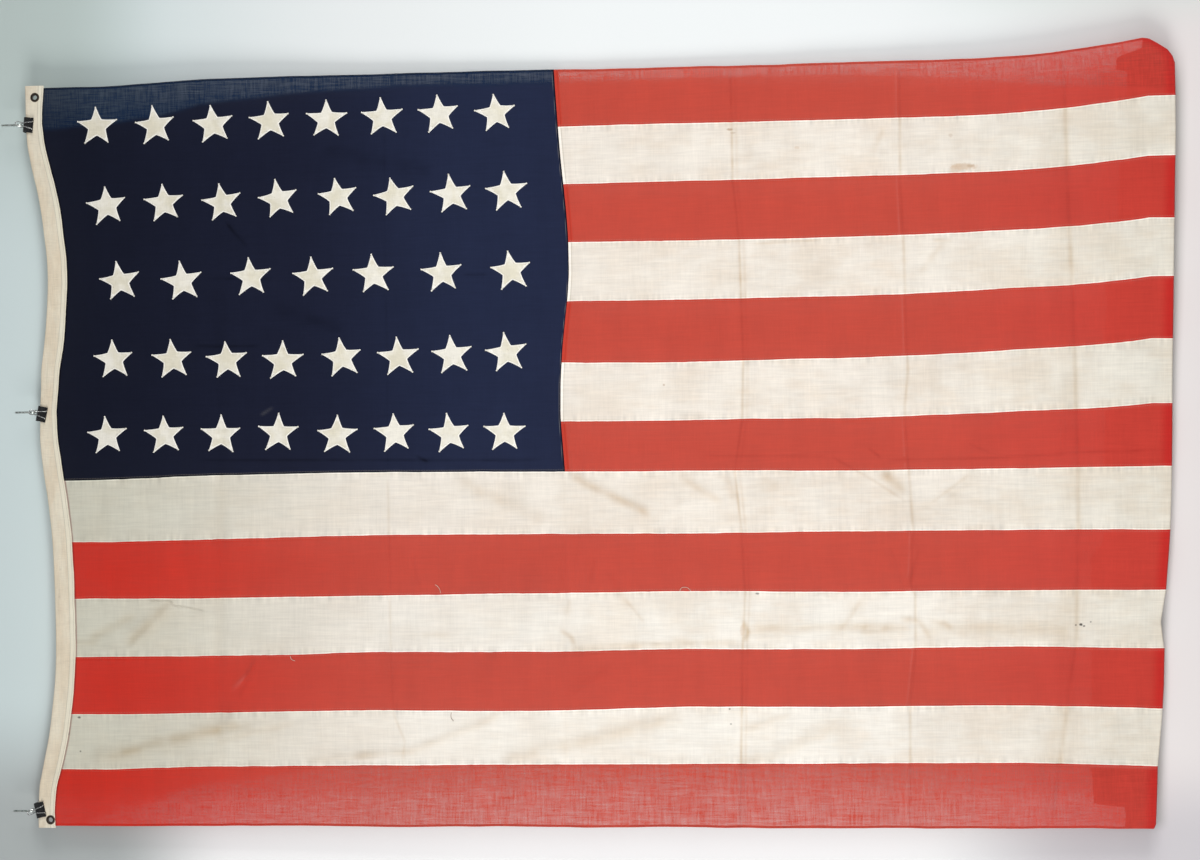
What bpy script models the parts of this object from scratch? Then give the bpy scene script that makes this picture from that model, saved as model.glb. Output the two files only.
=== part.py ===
"""A five by eight foot stars and stripes flag of wool bunting, hung by its heading.

Metres, +Z up. The flag hangs straight down from its canvas heading, held by three
binder clips on three wall hooks. The wall is the plane Y = 0 and the flag's face
looks along -Y, with the canton at the upper right. The origin is where the middle
hook leaves the wall. The fly end is turned back behind the flag and is torn.
"""
import math

import bmesh
import bpy
from mathutils import Vector
from mathutils.geometry import delaunay_2d_cdt

# Where the cloth hangs. U runs across the hoist from the flag's centre line, towards +X.
HOIST = 1.524
FLAG_X = -0.0895
CLOTH_Y = -0.046
CLOTH_THICK = 0.0015
PIECE_GAP = 0.0003

# Hooks and clips, as (x, z of the hook's shank, lean of the clip in degrees), +X first.
HOOKS = ((0.594, 0.020, 6.0), (0.0, 0.0, 12.0), (-0.8235, 0.016, -12.0))
HOOK_ROD = 0.0045
HOOK_REACH = 0.040
HOOK_BEND = 0.004
HOOK_RISE = 0.040

# Binder clip, measured down from the shank of its hook.
CLIP_WIDTH = 0.031
CLIP_DEPTH = 0.0175
CLIP_SPINE = 0.0130
CLIP_STEEL = 0.0008
CLIP_LIP_DROP = 0.02845
CLIP_CURL = 0.0019
CLIP_NOTCH = 0.018
CLIP_NOTCH_HEIGHT = 0.0062
CLIP_PINCH = 0.0004
WIRE = 0.0020
HANDLE_TILT = 0.257

# Heading: height of its upper edge at each clip, how far it sags between them, and its width.
EDGE_AT_CLIP = (0.0065, -0.0150, 0.0010)
EDGE_SAG = (0.029, 0.034)
EDGE_SAG_POWER = 1.15
HEADING_WIDTH = 0.041
HEADING_THICK = 0.0026
HEADING_OVERRUN = 0.002

# Grommets, as (x, z).
GROMMETS = ((0.6485, -0.014), (-0.840, -0.025))
GROMMET_HOLE = 0.0100
GROMMET_BARREL = 0.0118
GROMMET_FLANGE = 0.0190
GROMMET_STEPS = 24

# Stripe widths across the hoist, union side first, at the canton's end and at the fly fold.
WIDTHS_MID = (0.113, 0.118, 0.118, 0.120, 0.125, 0.117, 0.101, 0.123, 0.116, 0.115, 0.116, 0.116, 0.127)
WIDTHS_FLY = (0.117, 0.118, 0.121, 0.118, 0.122, 0.125, 0.122, 0.125, 0.118, 0.114, 0.119, 0.114, 0.122)
FLY_EDGE_U = 0.792
FLARE_START = -1.80
FLARE_END = -2.26
FLARE_POWER = 2.5
CANTON_STRIPES = 7
CANTON_END = -1.102
CANTON_END_WAVE = 0.011
CANTON_END_CREST_U = 0.75
CANTON_END_WAVE_LENGTH = 0.80

# Fly fold, and the torn edge of the layer turned back behind, as (u, z).
FOLD_LINE = (
    (-0.766, -2.225), (-0.752, -2.249), (-0.640, -2.254), (-0.540, -2.264), (-0.412, -2.268),
    (-0.357, -2.269), (-0.294, -2.278), (-0.177, -2.286), (0.019, -2.294), (0.391, -2.303),
    (0.607, -2.310), (0.748, -2.310), (0.762, -2.303), (0.776, -2.288), (0.794, -2.262),
)
TORN_EDGE = (
    (-0.766, -2.196), (-0.719, -2.194), (-0.716, -2.134), (-0.640, -2.131), (-0.420, -2.138),
    (-0.234, -2.136), (-0.200, -2.160), (-0.020, -2.168), (0.178, -2.171), (0.375, -2.178),
    (0.405, -2.200), (0.541, -2.203), (0.600, -2.216), (0.731, -2.223), (0.738, -2.201),
    (0.764, -2.203), (0.772, -2.250), (0.794, -2.255),
)
FOLD_RADIUS = 0.0042
FLAP_LEAN = 0.0016
LEAST_FLAP = 0.006

# Soft forms of the hanging cloth. It turns a little halfway down, so that the union's edge comes
# near the wall and the other edge stands off it; it swags forward between the clips, and has long waves.
FALL_START = 0.05
TURN = 0.026
TURN_LENGTH = 2.35
TURN_POWER = 1.5
SWAG = 0.013
SWAG_FADE = 0.75
FALL_WAVE = 0.0035
FALL_WAVE_EASE = 0.6
FALL_WAVE_LENGTH = 0.47
FALL_WAVE_SLANT = 0.18
FOOT_WAVE = 0.0045
FOOT_WAVE_START = -1.2
FOOT_WAVE_EASE = 0.9
FOOT_WAVE_LENGTH = 0.62
FOOT_WAVE_SHIFT = 0.1

# Stars: centre of the first star in each row and the steps down the row, union side first.
# Then each star's turn in degrees.
STAR_RADIUS = 0.0435
STAR_INNER = 0.41
STAR_RISE = 0.0006
STAR_EDGE = 0.0016
STAR_SWAY = 0.0015
STAR_ROWS = (
    (0.678, -0.142, (0.122, 0.119, 0.121, 0.118, 0.118, 0.117, 0.112)),
    (0.515, -0.158, (0.122, 0.122, 0.116, 0.123, 0.121, 0.111, 0.116)),
    (0.360, -0.186, (0.130, 0.146, 0.129, 0.126, 0.137, 0.141)),
    (0.194, -0.171, (0.119, 0.117, 0.119, 0.122, 0.115, 0.111, 0.110)),
    (0.040, -0.156, (0.117, 0.122, 0.118, 0.125, 0.115, 0.115, 0.112)),
)
STAR_TURNS = (
    (0.5, 6.5, 6.5, 4.0, 0.0, 5.0, 5.5, 6.5),
    (6.5, 6.0, 9.0, 11.0, 9.5, 13.0, 8.0, 6.5),
    (7.5, 7.5, 4.0, 6.5, 4.0, 4.5, 7.0),
    (4.0, 5.0, 3.5, 1.5, 6.0, 6.0, 7.0, 7.5),
    (5.0, 5.5, 0.0, -0.5, 0.5, 5.0, 5.5, 0.5),
)

# How finely the cloth is laid out.
LONG_ROWS = 30
SHORT_ROWS = 17
FLAP_ROWS = 3
LOOP_STEPS = 5
CANTON_ROWS = 18
DEFAULT_COLUMNS = (0.0, 0.5, 1.0)
COLUMNS = {
    0: (0.0, 0.12, 0.24, 0.42, 0.52, 1.0),
    12: (0.0, 0.30, 0.60, 0.64, 0.90, 1.0),
}

RED = (0.560, 0.055, 0.040)
WHITE = (0.780, 0.735, 0.640)
BLUE = (0.010, 0.013, 0.035)
CANVAS = (0.700, 0.620, 0.470)
BRASS = (0.420, 0.320, 0.170)
BLACK_STEEL = (0.012, 0.012, 0.013)
BRIGHT_STEEL = (0.620, 0.620, 0.610)


def smooth(value):
    """Ease from 0 to 1."""
    value = min(max(value, 0.0), 1.0)
    return value * value * (3.0 - 2.0 * value)


def along(line, u):
    """Value at u on a line of (u, value) points."""
    if u <= line[0][0]:
        return line[0][1]
    for (u0, v0), (u1, v1) in zip(line, line[1:]):
        if u <= u1:
            return v0 + (v1 - v0) * (u - u0) / (u1 - u0)
    return line[-1][1]


def seams(widths, start):
    """Place of every seam across the hoist, from the union side down."""
    places = [start]
    for width in widths:
        places.append(places[-1] - width)
    return places


SEAMS_MID = seams(WIDTHS_MID, HOIST / 2 - 0.002)
SEAMS_FLY = seams(WIDTHS_FLY, FLY_EDGE_U)
CLIP_U = [x - FLAG_X for x, z, lean in HOOKS]


def span(u):
    """Which stretch between two clips u is in, and how far along it is, 0 to 1."""
    for index in range(2):
        if CLIP_U[index + 1] <= u <= CLIP_U[index]:
            return index, (CLIP_U[index] - u) / (CLIP_U[index] - CLIP_U[index + 1])
    return (0, 0.0) if u > CLIP_U[0] else (1, 1.0)


def top_edge(u):
    """Height of the heading's upper edge, which sags between the clips."""
    index, share = span(u)
    level = EDGE_AT_CLIP[index] * (1 - share) + EDGE_AT_CLIP[index + 1] * share
    return level - EDGE_SAG[index] * math.sin(math.pi * share) ** EDGE_SAG_POWER


def columns_across(first, last):
    """Places across the hoist where the stripes from first to last have a column of points."""
    places = set()
    for number in range(first, last):
        places.update(number + share for share in COLUMNS.get(number, DEFAULT_COLUMNS))
    return sorted(places)


def edge_line():
    """The heading's upper edge as short straight runs, one for each column of the cloth below it."""
    ends = (SEAMS_MID[-1] - HEADING_OVERRUN, SEAMS_MID[0] + HEADING_OVERRUN)
    across = {seam_u(place, 0) for place in columns_across(0, len(WIDTHS_MID))}
    return [(u, top_edge(u)) for u in sorted(across.union(ends))]


def cloth_top(u):
    return along(EDGE_LINE, u) - HEADING_WIDTH - PIECE_GAP


def cloth_y(u, z):
    """Depth of the middle of the hanging cloth."""
    index, share = span(u)
    fall = top_edge(u) - z
    fade = math.exp(-fall / SWAG_FADE)
    swag = SWAG * math.sin(math.pi * share) ** 2 * fade
    ease = smooth((fall - FALL_START) / FALL_WAVE_EASE)
    wave = FALL_WAVE * ease * math.sin(2 * math.pi * (u + FALL_WAVE_SLANT * z) / FALL_WAVE_LENGTH)
    ease = smooth((FOOT_WAVE_START - z) / FOOT_WAVE_EASE)
    foot = FOOT_WAVE * ease * math.sin(2 * math.pi * (u - FOOT_WAVE_SHIFT) / FOOT_WAVE_LENGTH)
    share = min(max((fall - FALL_START) / TURN_LENGTH, 0.0), 1.0)
    turn = TURN * u / (HOIST / 2) * math.sin(math.pi * share) ** TURN_POWER
    return CLOTH_Y - swag + wave + foot + turn


def seam_u(place, z):
    """Where a line along the fly lies at height z. Place counts seams, in whole numbers or parts."""
    low = min(int(place), len(SEAMS_MID) - 2)
    part = place - low
    mid = SEAMS_MID[low] * (1 - part) + SEAMS_MID[low + 1] * part
    fly = SEAMS_FLY[low] * (1 - part) + SEAMS_FLY[low + 1] * part
    flare = min(max((FLARE_START - z) / (FLARE_START - FLARE_END), 0.0), 1.0) ** FLARE_POWER
    return mid + (fly - mid) * flare


def canton_end(u):
    """Height of the seam between the canton and the short stripes."""
    share = (u - CANTON_END_CREST_U) / CANTON_END_WAVE_LENGTH
    return CANTON_END + CANTON_END_WAVE * math.cos(2 * math.pi * share)


def cloth_point(u, z):
    return Vector((FLAG_X + u, cloth_y(u, z), z))


EDGE_LINE = edge_line()
CANTON_COLUMNS = sorted(seam_u(place, 0) for place in columns_across(0, CANTON_STRIPES))
END_LINE = [(u, canton_end(u)) for u in CANTON_COLUMNS]


def thread(place, start, rows):
    """Middle points down one line of the cloth: the front, the fold and the turned back layer."""
    edge_u = seam_u(place, FLARE_END)
    fold = along(FOLD_LINE, edge_u) + FOLD_RADIUS
    torn = max(along(TORN_EDGE, edge_u), fold + LEAST_FLAP)
    points = []
    for row in range(rows + 1):
        z = start + (fold - start) * row / rows
        points.append(cloth_point(seam_u(place, z), z))
    foot = points[-1]
    for step in range(1, LOOP_STEPS):
        angle = math.pi * step / LOOP_STEPS
        turn = Vector((0, FOLD_RADIUS * (1 - math.cos(angle)), -FOLD_RADIUS * math.sin(angle)))
        points.append(foot + turn)
    for row in range(FLAP_ROWS + 1):
        share = row / FLAP_ROWS
        z = fold + (torn - fold) * share
        u = seam_u(place, z)
        back = cloth_y(u, z) + 2 * FOLD_RADIUS - FLAP_LEAN * share
        points.append(Vector((FLAG_X + u, back, z)))
    return points


def normals(grid):
    """Unit normals of a grid of points, towards the viewer on the front layer."""
    columns, rows = len(grid), len(grid[0])
    result = []
    for i in range(columns):
        line = []
        for j in range(rows):
            across = grid[min(i + 1, columns - 1)][j] - grid[max(i - 1, 0)][j]
            down = grid[i][min(j + 1, rows - 1)] - grid[i][max(j - 1, 0)]
            line.append(across.cross(down).normalized())
        result.append(line)
    return result


def material(name, colour, roughness, metallic=0.0):
    mat = bpy.data.materials.new(name)
    mat.use_nodes = True
    shader = mat.node_tree.nodes["Principled BSDF"]
    shader.inputs["Base Color"].default_value = (*colour, 1)
    shader.inputs["Roughness"].default_value = roughness
    shader.inputs["Metallic"].default_value = metallic
    return mat


def add_object(name, bm, mat):
    bmesh.ops.recalc_face_normals(bm, faces=bm.faces)
    mesh = bpy.data.meshes.new(name)
    bm.to_mesh(mesh)
    bm.free()
    mesh.materials.append(mat)
    obj = bpy.data.objects.new(name, mesh)
    bpy.context.collection.objects.link(obj)
    return obj


def sheet(name, grid, thick, mat):
    """A closed sheet of even thickness, centred on a grid of middle points."""
    columns, rows = len(grid), len(grid[0])
    away = normals(grid)
    bm = bmesh.new()
    sides = []
    for sign in (-0.5, 0.5):
        side = []
        for i in range(columns):
            side.append([bm.verts.new(grid[i][j] + away[i][j] * thick * sign) for j in range(rows)])
        sides.append(side)
        for i in range(columns - 1):
            for j in range(rows - 1):
                bm.faces.new((side[i][j], side[i + 1][j], side[i + 1][j + 1], side[i][j + 1]))
    rim = [(i, 0) for i in range(columns)]
    rim += [(columns - 1, j) for j in range(1, rows)]
    rim += [(i, rows - 1) for i in range(columns - 2, -1, -1)]
    rim += [(0, j) for j in range(rows - 2, 0, -1)]
    for (i0, j0), (i1, j1) in zip(rim, rim[1:] + rim[:1]):
        front, back = sides
        bm.faces.new((front[i0][j0], front[i1][j1], back[i1][j1], back[i0][j0]))
    return add_object(name, bm, mat)


def stripe(number, mat):
    """One stripe, counted from the union side, with half the piece gap taken off each long edge."""
    short = number < CANTON_STRIPES
    trim = PIECE_GAP / 2 / WIDTHS_MID[number]
    grid = []
    for share in COLUMNS.get(number, DEFAULT_COLUMNS):
        place = number + trim + (1 - 2 * trim) * share
        u = seam_u(place, 0)
        start = along(END_LINE, u) - PIECE_GAP / 2 if short else cloth_top(u)
        grid.append(thread(place, start, SHORT_ROWS if short else LONG_ROWS))
    return sheet("stripe_%02d" % (number + 1), grid, CLOTH_THICK, mat)


def star_centres():
    """Centre and turn of each star, as (u, z, turn)."""
    stars = []
    for row, (u, z, steps) in enumerate(STAR_ROWS):
        for column, step in enumerate((0.0,) + steps):
            z -= step
            sway = STAR_SWAY * math.sin(3.7 * column + 1.9 * row)
            stars.append((u + sway, z, math.radians(STAR_TURNS[row][column])))
    return stars


def star_outline(u, z, turn, radius):
    """Ten corners of a star with one point towards +X."""
    corners = []
    for step in range(10):
        angle = turn + math.pi * step / 5
        reach = radius * (STAR_INNER if step % 2 else 1.0)
        corners.append((u + reach * math.cos(angle), z + reach * math.sin(angle)))
    return corners


def canton(mat):
    """The blue panel. Its face is laid out around the outlines of the stars, which stand proud."""
    trim = PIECE_GAP / 2
    places = [seam_u(place, 0) for place in columns_across(0, CANTON_STRIPES)]
    places[-1] += trim
    across, down = len(places) - 1, CANTON_ROWS
    rim, inner = [], []
    for i, u in enumerate(places):
        top, end = cloth_top(u), along(END_LINE, u) + trim
        for j in range(down + 1):
            z = top + (end - top) * j / down
            edge = i in (0, across) or j in (0, down)
            (rim if edge else inner).append((i, j, u, z))

    def rim_order(item):
        i, j = item[:2]
        if j == 0:
            return i
        if i == across:
            return across + j
        if j == down:
            return across + down + (across - i)
        return 2 * across + down + (down - j)

    rim.sort(key=rim_order)
    rim_points = [Vector((u, z)) for i, j, u, z in rim]
    stars = star_centres()
    clear = STAR_RADIUS * 0.98
    grid_points = [Vector((u, z)) for i, j, u, z in inner]
    open_points = [
        p for p in grid_points if all(math.hypot(p.x - u, p.y - z) > clear for u, z, turn in stars)
    ]
    front_points = rim_points + open_points
    raised = set()
    edges = [(k, (k + 1) % len(rim_points)) for k in range(len(rim_points))]
    for u, z, turn in stars:
        for radius, rise in ((STAR_RADIUS, False), (STAR_RADIUS - STAR_EDGE, True)):
            first = len(front_points)
            front_points += [Vector(corner) for corner in star_outline(u, z, turn, radius)]
            edges += [(first + k, first + (k + 1) % 10) for k in range(10)]
            if rise:
                raised.update(range(first, first + 10))

    bm = bmesh.new()
    layers = []
    faces_of_cloth = ((front_points, edges, -0.5), (rim_points + grid_points, edges[: len(rim)], 0.5))
    for points, bounds, sign in faces_of_cloth:
        flat, _, faces, origin, _, _ = delaunay_2d_cdt(points, bounds, [], 1, 1e-7)
        verts = []
        for point, sources in zip(flat, origin):
            lift = STAR_RISE if sign < 0 and raised.intersection(sources) else 0.0
            offset = away_from_face(point.x, point.y) * (sign * CLOTH_THICK - lift)
            verts.append(bm.verts.new(cloth_point(point.x, point.y) + offset))
        for face in faces:
            bm.faces.new([verts[k] for k in face])
        place = {source: verts[k] for k, sources in enumerate(origin) for source in sources}
        layers.append([place[k] for k in range(len(rim))])
    front, back = layers
    for k in range(len(rim)):
        n = (k + 1) % len(rim)
        bm.faces.new((front[k], front[n], back[n], back[k]))
    return add_object("canton", bm, mat)


def away_from_face(u, z):
    """Unit normal of the hanging cloth, away from the viewer."""
    step = 0.004
    across = cloth_point(u + step, z) - cloth_point(u - step, z)
    down = cloth_point(u, z - step) - cloth_point(u, z + step)
    return across.cross(down).normalized()


def heading(mat):
    """The canvas strip, sagging between the clips, with a round hole for each grommet."""
    grid = []
    for u, top in reversed(EDGE_LINE):
        grid.append([cloth_point(u, top - HEADING_WIDTH * row / 2) for row in range(3)])
    obj = sheet("heading", grid, HEADING_THICK, mat)
    for index, (x, z) in enumerate(GROMMETS):
        bm = bmesh.new()
        radius = GROMMET_BARREL / 2 + PIECE_GAP
        bmesh.ops.create_cone(
            bm, cap_ends=True, segments=GROMMET_STEPS, radius1=radius, radius2=radius, depth=0.02
        )
        cutter = add_object("cut_eyelet_%d" % (index + 1), bm, mat)
        cutter.location = (x, cloth_y(x - FLAG_X, z), z)
        cutter.rotation_euler = (math.pi / 2, 0, 0)
        hide_as_cutter(cutter)
        cut = obj.modifiers.new("eyelet_%d" % (index + 1), "BOOLEAN")
        cut.operation = "DIFFERENCE"
        cut.object = cutter
    return obj


def hide_as_cutter(obj):
    obj.hide_render = True
    obj.display_type = "WIRE"


def turned(name, profile, steps, mat):
    """A ring turned about its own Z from a closed profile of (radius, height) points."""
    bm = bmesh.new()
    rings = []
    for step in range(steps):
        angle = 2 * math.pi * step / steps
        rings.append([bm.verts.new((r * math.cos(angle), r * math.sin(angle), h)) for r, h in profile])
    for ring, after in zip(rings, rings[1:] + rings[:1]):
        for k in range(len(profile)):
            n = (k + 1) % len(profile)
            bm.faces.new((ring[k], ring[n], after[n], after[k]))
    obj = add_object(name, bm, mat)
    obj.data.shade_smooth()
    obj.data.set_sharp_from_angle(angle=math.radians(40))
    return obj


def grommet(index, x, z, mat):
    """A two part brass eyelet: a barrel with a rolled flange on both faces of the heading."""
    hole, barrel, flange = GROMMET_HOLE / 2, GROMMET_BARREL / 2, GROMMET_FLANGE / 2
    seat = HEADING_THICK / 2 + PIECE_GAP
    crown = seat + 0.0012
    profile = (
        (hole, -crown + 0.0004), (hole, crown - 0.0004), (hole + 0.0008, crown),
        (flange - 0.0012, crown - 0.0002), (flange, seat + 0.0002), (flange - 0.0003, seat),
        (barrel, seat), (barrel, -seat), (flange - 0.0003, -seat), (flange, -seat - 0.0002),
        (flange - 0.0012, -crown + 0.0002), (hole + 0.0008, -crown),
    )
    obj = turned("grommet_%d" % index, profile, GROMMET_STEPS, mat)
    obj.location = (x, cloth_y(x - FLAG_X, z), z)
    obj.rotation_euler = (math.pi / 2, 0, 0)
    return obj


def clip_section():
    """Middle line of the clip's sprung steel, as (y, z) from the lips up, front lip to back lip."""
    lip_y = HEADING_THICK / 2 + CLIP_PINCH + CLIP_STEEL / 2
    curl = []
    for degrees in range(110, 361, 50):
        angle = math.radians(degrees)
        curl.append((-lip_y - CLIP_CURL + CLIP_CURL * math.cos(angle), CLIP_CURL * math.sin(angle)))
    half = CLIP_SPINE / 2
    corner = [(-half + 0.0002, CLIP_DEPTH - 0.0014), (-half + 0.0014, CLIP_DEPTH)]
    front = curl + corner
    return front + [(-y, z) for y, z in reversed(front)]


def clip_body(index, frame, mat):
    line = clip_section()
    bm = bmesh.new()
    ends = []
    for x in (-CLIP_WIDTH / 2, CLIP_WIDTH / 2):
        sides = ([], [])
        for k, (y, z) in enumerate(line):
            before, after = line[max(k - 1, 0)], line[min(k + 1, len(line) - 1)]
            run = Vector((after[0] - before[0], after[1] - before[1])).normalized()
            for side, sign in zip(sides, (0.5, -0.5)):
                place = (x, y - run.y * CLIP_STEEL * sign, z + run.x * CLIP_STEEL * sign)
                side.append(bm.verts.new(place))
        ends.append(sides)
    for (outer0, inner0), (outer1, inner1) in zip(ends[:1], ends[1:]):
        for k in range(len(line) - 1):
            bm.faces.new((outer0[k], outer0[k + 1], outer1[k + 1], outer1[k]))
            bm.faces.new((inner0[k], inner0[k + 1], inner1[k + 1], inner1[k]))
        for k in (0, -1):
            bm.faces.new((outer0[k], inner0[k], inner1[k], outer1[k]))
    for outer, inner in ends:
        for k in range(len(line) - 1):
            bm.faces.new((outer[k], outer[k + 1], inner[k + 1], inner[k]))
    body = add_object("clip_%d" % index, bm, mat)
    place_on_clip(body, frame)
    lip_y = HEADING_THICK / 2 + CLIP_PINCH + CLIP_STEEL
    for sign, side in ((-1, "front"), (1, "back")):
        bm = bmesh.new()
        bmesh.ops.create_cube(bm, size=1.0)
        depth = 2 * CLIP_CURL + 0.002
        for vert in bm.verts:
            vert.co.x *= CLIP_NOTCH
            vert.co.y = vert.co.y * depth + sign * (lip_y + 0.0001 + depth / 2)
            vert.co.z *= CLIP_NOTCH_HEIGHT
        cutter = add_object("cut_clip_%d_%s" % (index, side), bm, mat)
        place_on_clip(cutter, frame)
        hide_as_cutter(cutter)
        cut = body.modifiers.new("notch_%s" % side, "BOOLEAN")
        cut.operation = "DIFFERENCE"
        cut.object = cutter
    return body


def place_on_clip(obj, frame):
    """Parent to a clip's frame, whose origin is on the hook, and sit at the clip's lips."""
    obj.parent = frame
    obj.location = (0, 0, -CLIP_LIP_DROP)


def wire(name, points, thick, mat):
    curve = bpy.data.curves.new(name, "CURVE")
    curve.dimensions = "3D"
    curve.bevel_depth = thick / 2
    curve.bevel_resolution = 2
    curve.use_fill_caps = True
    spline = curve.splines.new("POLY")
    spline.points.add(len(points) - 1)
    for point, place in zip(spline.points, points):
        point.co = (*place, 1)
    curve.materials.append(mat)
    obj = bpy.data.objects.new(name, curve)
    bpy.context.collection.objects.link(obj)
    return obj


def clip_handle(index, side, frame, mat):
    """A wire handle: feet in the lip curls, legs drawn together, and an eye at the top."""
    sign = -1 if side == "front" else 1
    pin_y = HEADING_THICK / 2 + CLIP_PINCH + CLIP_STEEL / 2 + CLIP_CURL
    half = (
        (0.0140, 0.0), (0.0086, 0.0), (0.0075, 0.0004), (0.0068, 0.0016), (0.0052, 0.0100),
        (0.0031, 0.0190), (0.0032, 0.0215), (0.0043, 0.0260), (0.0044, 0.0283), (0.0037, 0.0302),
        (0.0024, 0.0315), (0.0008, 0.0320),
    )
    points = [(x, sign * (pin_y + HANDLE_TILT * z), z) for x, z in half]
    points += [(-x, y, z) for x, y, z in reversed(points)]
    obj = wire("clip_%d_handle_%s" % (index, side), points, WIRE, mat)
    place_on_clip(obj, frame)
    return obj


def hook(index, x, z, mat):
    """A square bent rod: out from the wall, then up."""
    bend = []
    for step in range(5):
        angle = math.pi / 2 * step / 4
        bend.append((0, -HOOK_REACH + HOOK_BEND * (1 - math.sin(angle)), HOOK_BEND * (1 - math.cos(angle))))
    points = [(0, 0, 0), (0, -HOOK_REACH / 2, 0)] + bend + [(0, -HOOK_REACH, HOOK_RISE)]
    obj = wire("hook_%d" % index, points, HOOK_ROD, mat)
    obj.location = (x, 0, z)
    return obj


def build():
    for obj in list(bpy.data.objects):
        bpy.data.objects.remove(obj, do_unlink=True)
    red = material("red_bunting", RED, 0.92)
    white = material("white_bunting", WHITE, 0.94)
    blue = material("blue_bunting", BLUE, 0.92)
    canvas = material("heading_canvas", CANVAS, 0.90)
    brass = material("grommet_brass", BRASS, 0.42, 1.0)
    black = material("clip_enamel", BLACK_STEEL, 0.28)
    bright = material("bright_steel", BRIGHT_STEEL, 0.30, 1.0)

    canton(blue)
    for number in range(len(WIDTHS_MID)):
        stripe(number, white if number % 2 else red)
    heading(canvas)
    for index, (x, z) in enumerate(GROMMETS):
        grommet(index + 1, x, z, brass)
    for index, (x, z, lean) in enumerate(HOOKS):
        hook(index + 1, x, z, bright)
        frame = bpy.data.objects.new("clip_frame_%d" % (index + 1), None)
        bpy.context.collection.objects.link(frame)
        frame.location = (x, CLOTH_Y, z)
        frame.rotation_euler = (0, math.radians(lean), 0)
        clip_body(index + 1, frame, black)
        for side in ("front", "back"):
            clip_handle(index + 1, side, frame, bright)


build()
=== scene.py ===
"""A worn five by eight foot stars and stripes flag of wool bunting, hung from clips on hooks.

Metres, +Z up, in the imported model's frame. U runs across the hoist from the flag's centre line,
towards +X; Z runs down the fly. The wall is the plane Y = 0 and the flag's face looks along -Y.
Tables of (u, z) places are in millimetres.
"""
import math

import bpy
import numpy as np
from mathutils import Matrix, Vector
from mathutils.geometry import delaunay_2d_cdt


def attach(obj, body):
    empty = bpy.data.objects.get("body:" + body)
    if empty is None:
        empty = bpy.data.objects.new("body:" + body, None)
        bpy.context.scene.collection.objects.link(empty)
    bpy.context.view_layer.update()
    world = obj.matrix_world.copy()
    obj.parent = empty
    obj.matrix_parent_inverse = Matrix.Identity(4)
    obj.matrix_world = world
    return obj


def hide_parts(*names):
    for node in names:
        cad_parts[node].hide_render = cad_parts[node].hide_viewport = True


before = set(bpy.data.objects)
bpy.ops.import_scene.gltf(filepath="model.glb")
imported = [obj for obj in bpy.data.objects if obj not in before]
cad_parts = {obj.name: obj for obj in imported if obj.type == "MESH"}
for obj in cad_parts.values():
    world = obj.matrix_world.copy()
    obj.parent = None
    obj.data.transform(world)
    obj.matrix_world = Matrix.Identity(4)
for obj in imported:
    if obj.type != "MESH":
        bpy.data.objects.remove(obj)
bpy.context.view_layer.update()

# ---- The hanging cloth, as in the part's source ----
HOIST = 1.524
FLAG_X = -0.0895
CLOTH_Y = -0.046
CLIP_X = (0.594, 0.0, -0.8235)
EDGE_AT_CLIP = (0.0065, -0.0150, 0.0010)
EDGE_SAG = (0.029, 0.034)
EDGE_SAG_POWER = 1.15
# How far the edge strays from that curve, up the flag, at these places across the hoist.
EDGE_SHIFTS = (
    (-734, 0), (-703, 1.7), (-682, 3.3), (-631, -1.7), (-579, -6.2), (-527, -7.2), (-465, -8.7),
    (-403, -8.5), (-341, -6.4), (-279, -4.6), (-217, -3.9), (-167, -3.3), (-93, 0.2), (-30, 4.5),
    (1, 5.2), (32, 5.2), (83.5, 0), (125, 0.6), (177, 4.4), (228, 0.3), (293, -2.9),
    (353, -6), (405, -7.3), (446, -5), (491, -4.5), (541, -1.9), (591, 2.5), (640, 4),
    (678, 0), (740, 0),
)
HEADING_WIDTH = 0.041
HEADING_THICK = 0.0026
HEADING_OVERRUN = 0.002
GROMMETS = ((0.6485, -0.014), (-0.840, -0.025))
WIDTHS_MID = (
    0.113, 0.118, 0.118, 0.120, 0.125, 0.117, 0.101, 0.123, 0.116, 0.115, 0.116, 0.116, 0.127,
)
WIDTHS_FLY = (
    0.117, 0.118, 0.121, 0.118, 0.122, 0.125, 0.122, 0.125, 0.118, 0.114, 0.119, 0.114, 0.122,
)
FLY_EDGE_U = 0.792
FLARE_START = -1.80
FLARE_END = -2.26
FLARE_POWER = 2.5
CANTON_STRIPES = 7
# How far each seam strays from its even place, in millimetres across the hoist, at these distances
# down the fly in metres.
SHIFT_AT = (0.145, 0.385, 0.705, 1.025, 1.345, 1.670, 1.995, 2.295)
SEAM_SHIFTS = (
    (-2, 8, 10, 10, 5, 4, -1, 1),
    (-1, 7, 10, 4, 4, 0, -1, 0),
    (-1, 7, 10, 5, 5, 4, 5, 0),
    (-1, 7, 10, 6, 4, 2, 6, 0),
    (-1, 7, 9, 6, 4, 5, 10, 3),
    (0, 6, 9, 7, 3, 6, 13, 3),
    (0, 6, 9, 5, 4, 4, 9, 1),
    (0, 6, 9, 6, 4, 0, 1, 1),
    (-4, -1, 4, 3, 2, 3, 2, 1),
    (-4, -4, -2, 1, 3, -1, 0, 1),
    (-8, -7, -1, -1, 3, 1, 3, -1),
    (-10, -7, -1, -3, 4, 2, 4, 2),
    (-8, -1, 2, 5, 7, 8, 8, 3),
    (2, 5, 6, 9, 8, 7, 5, 3),
)
CANTON_END_LINE = (
    (-60, -1101), (7, -1096.5), (57, -1093), (128, -1094), (198, -1098.5),
    (254, -1104.5), (298, -1109.5), (345, -1113), (417, -1112.5), (469, -1109.5),
    (520, -1105), (580, -1099), (645, -1094), (701, -1090), (770, -1085.5),
)
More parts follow.
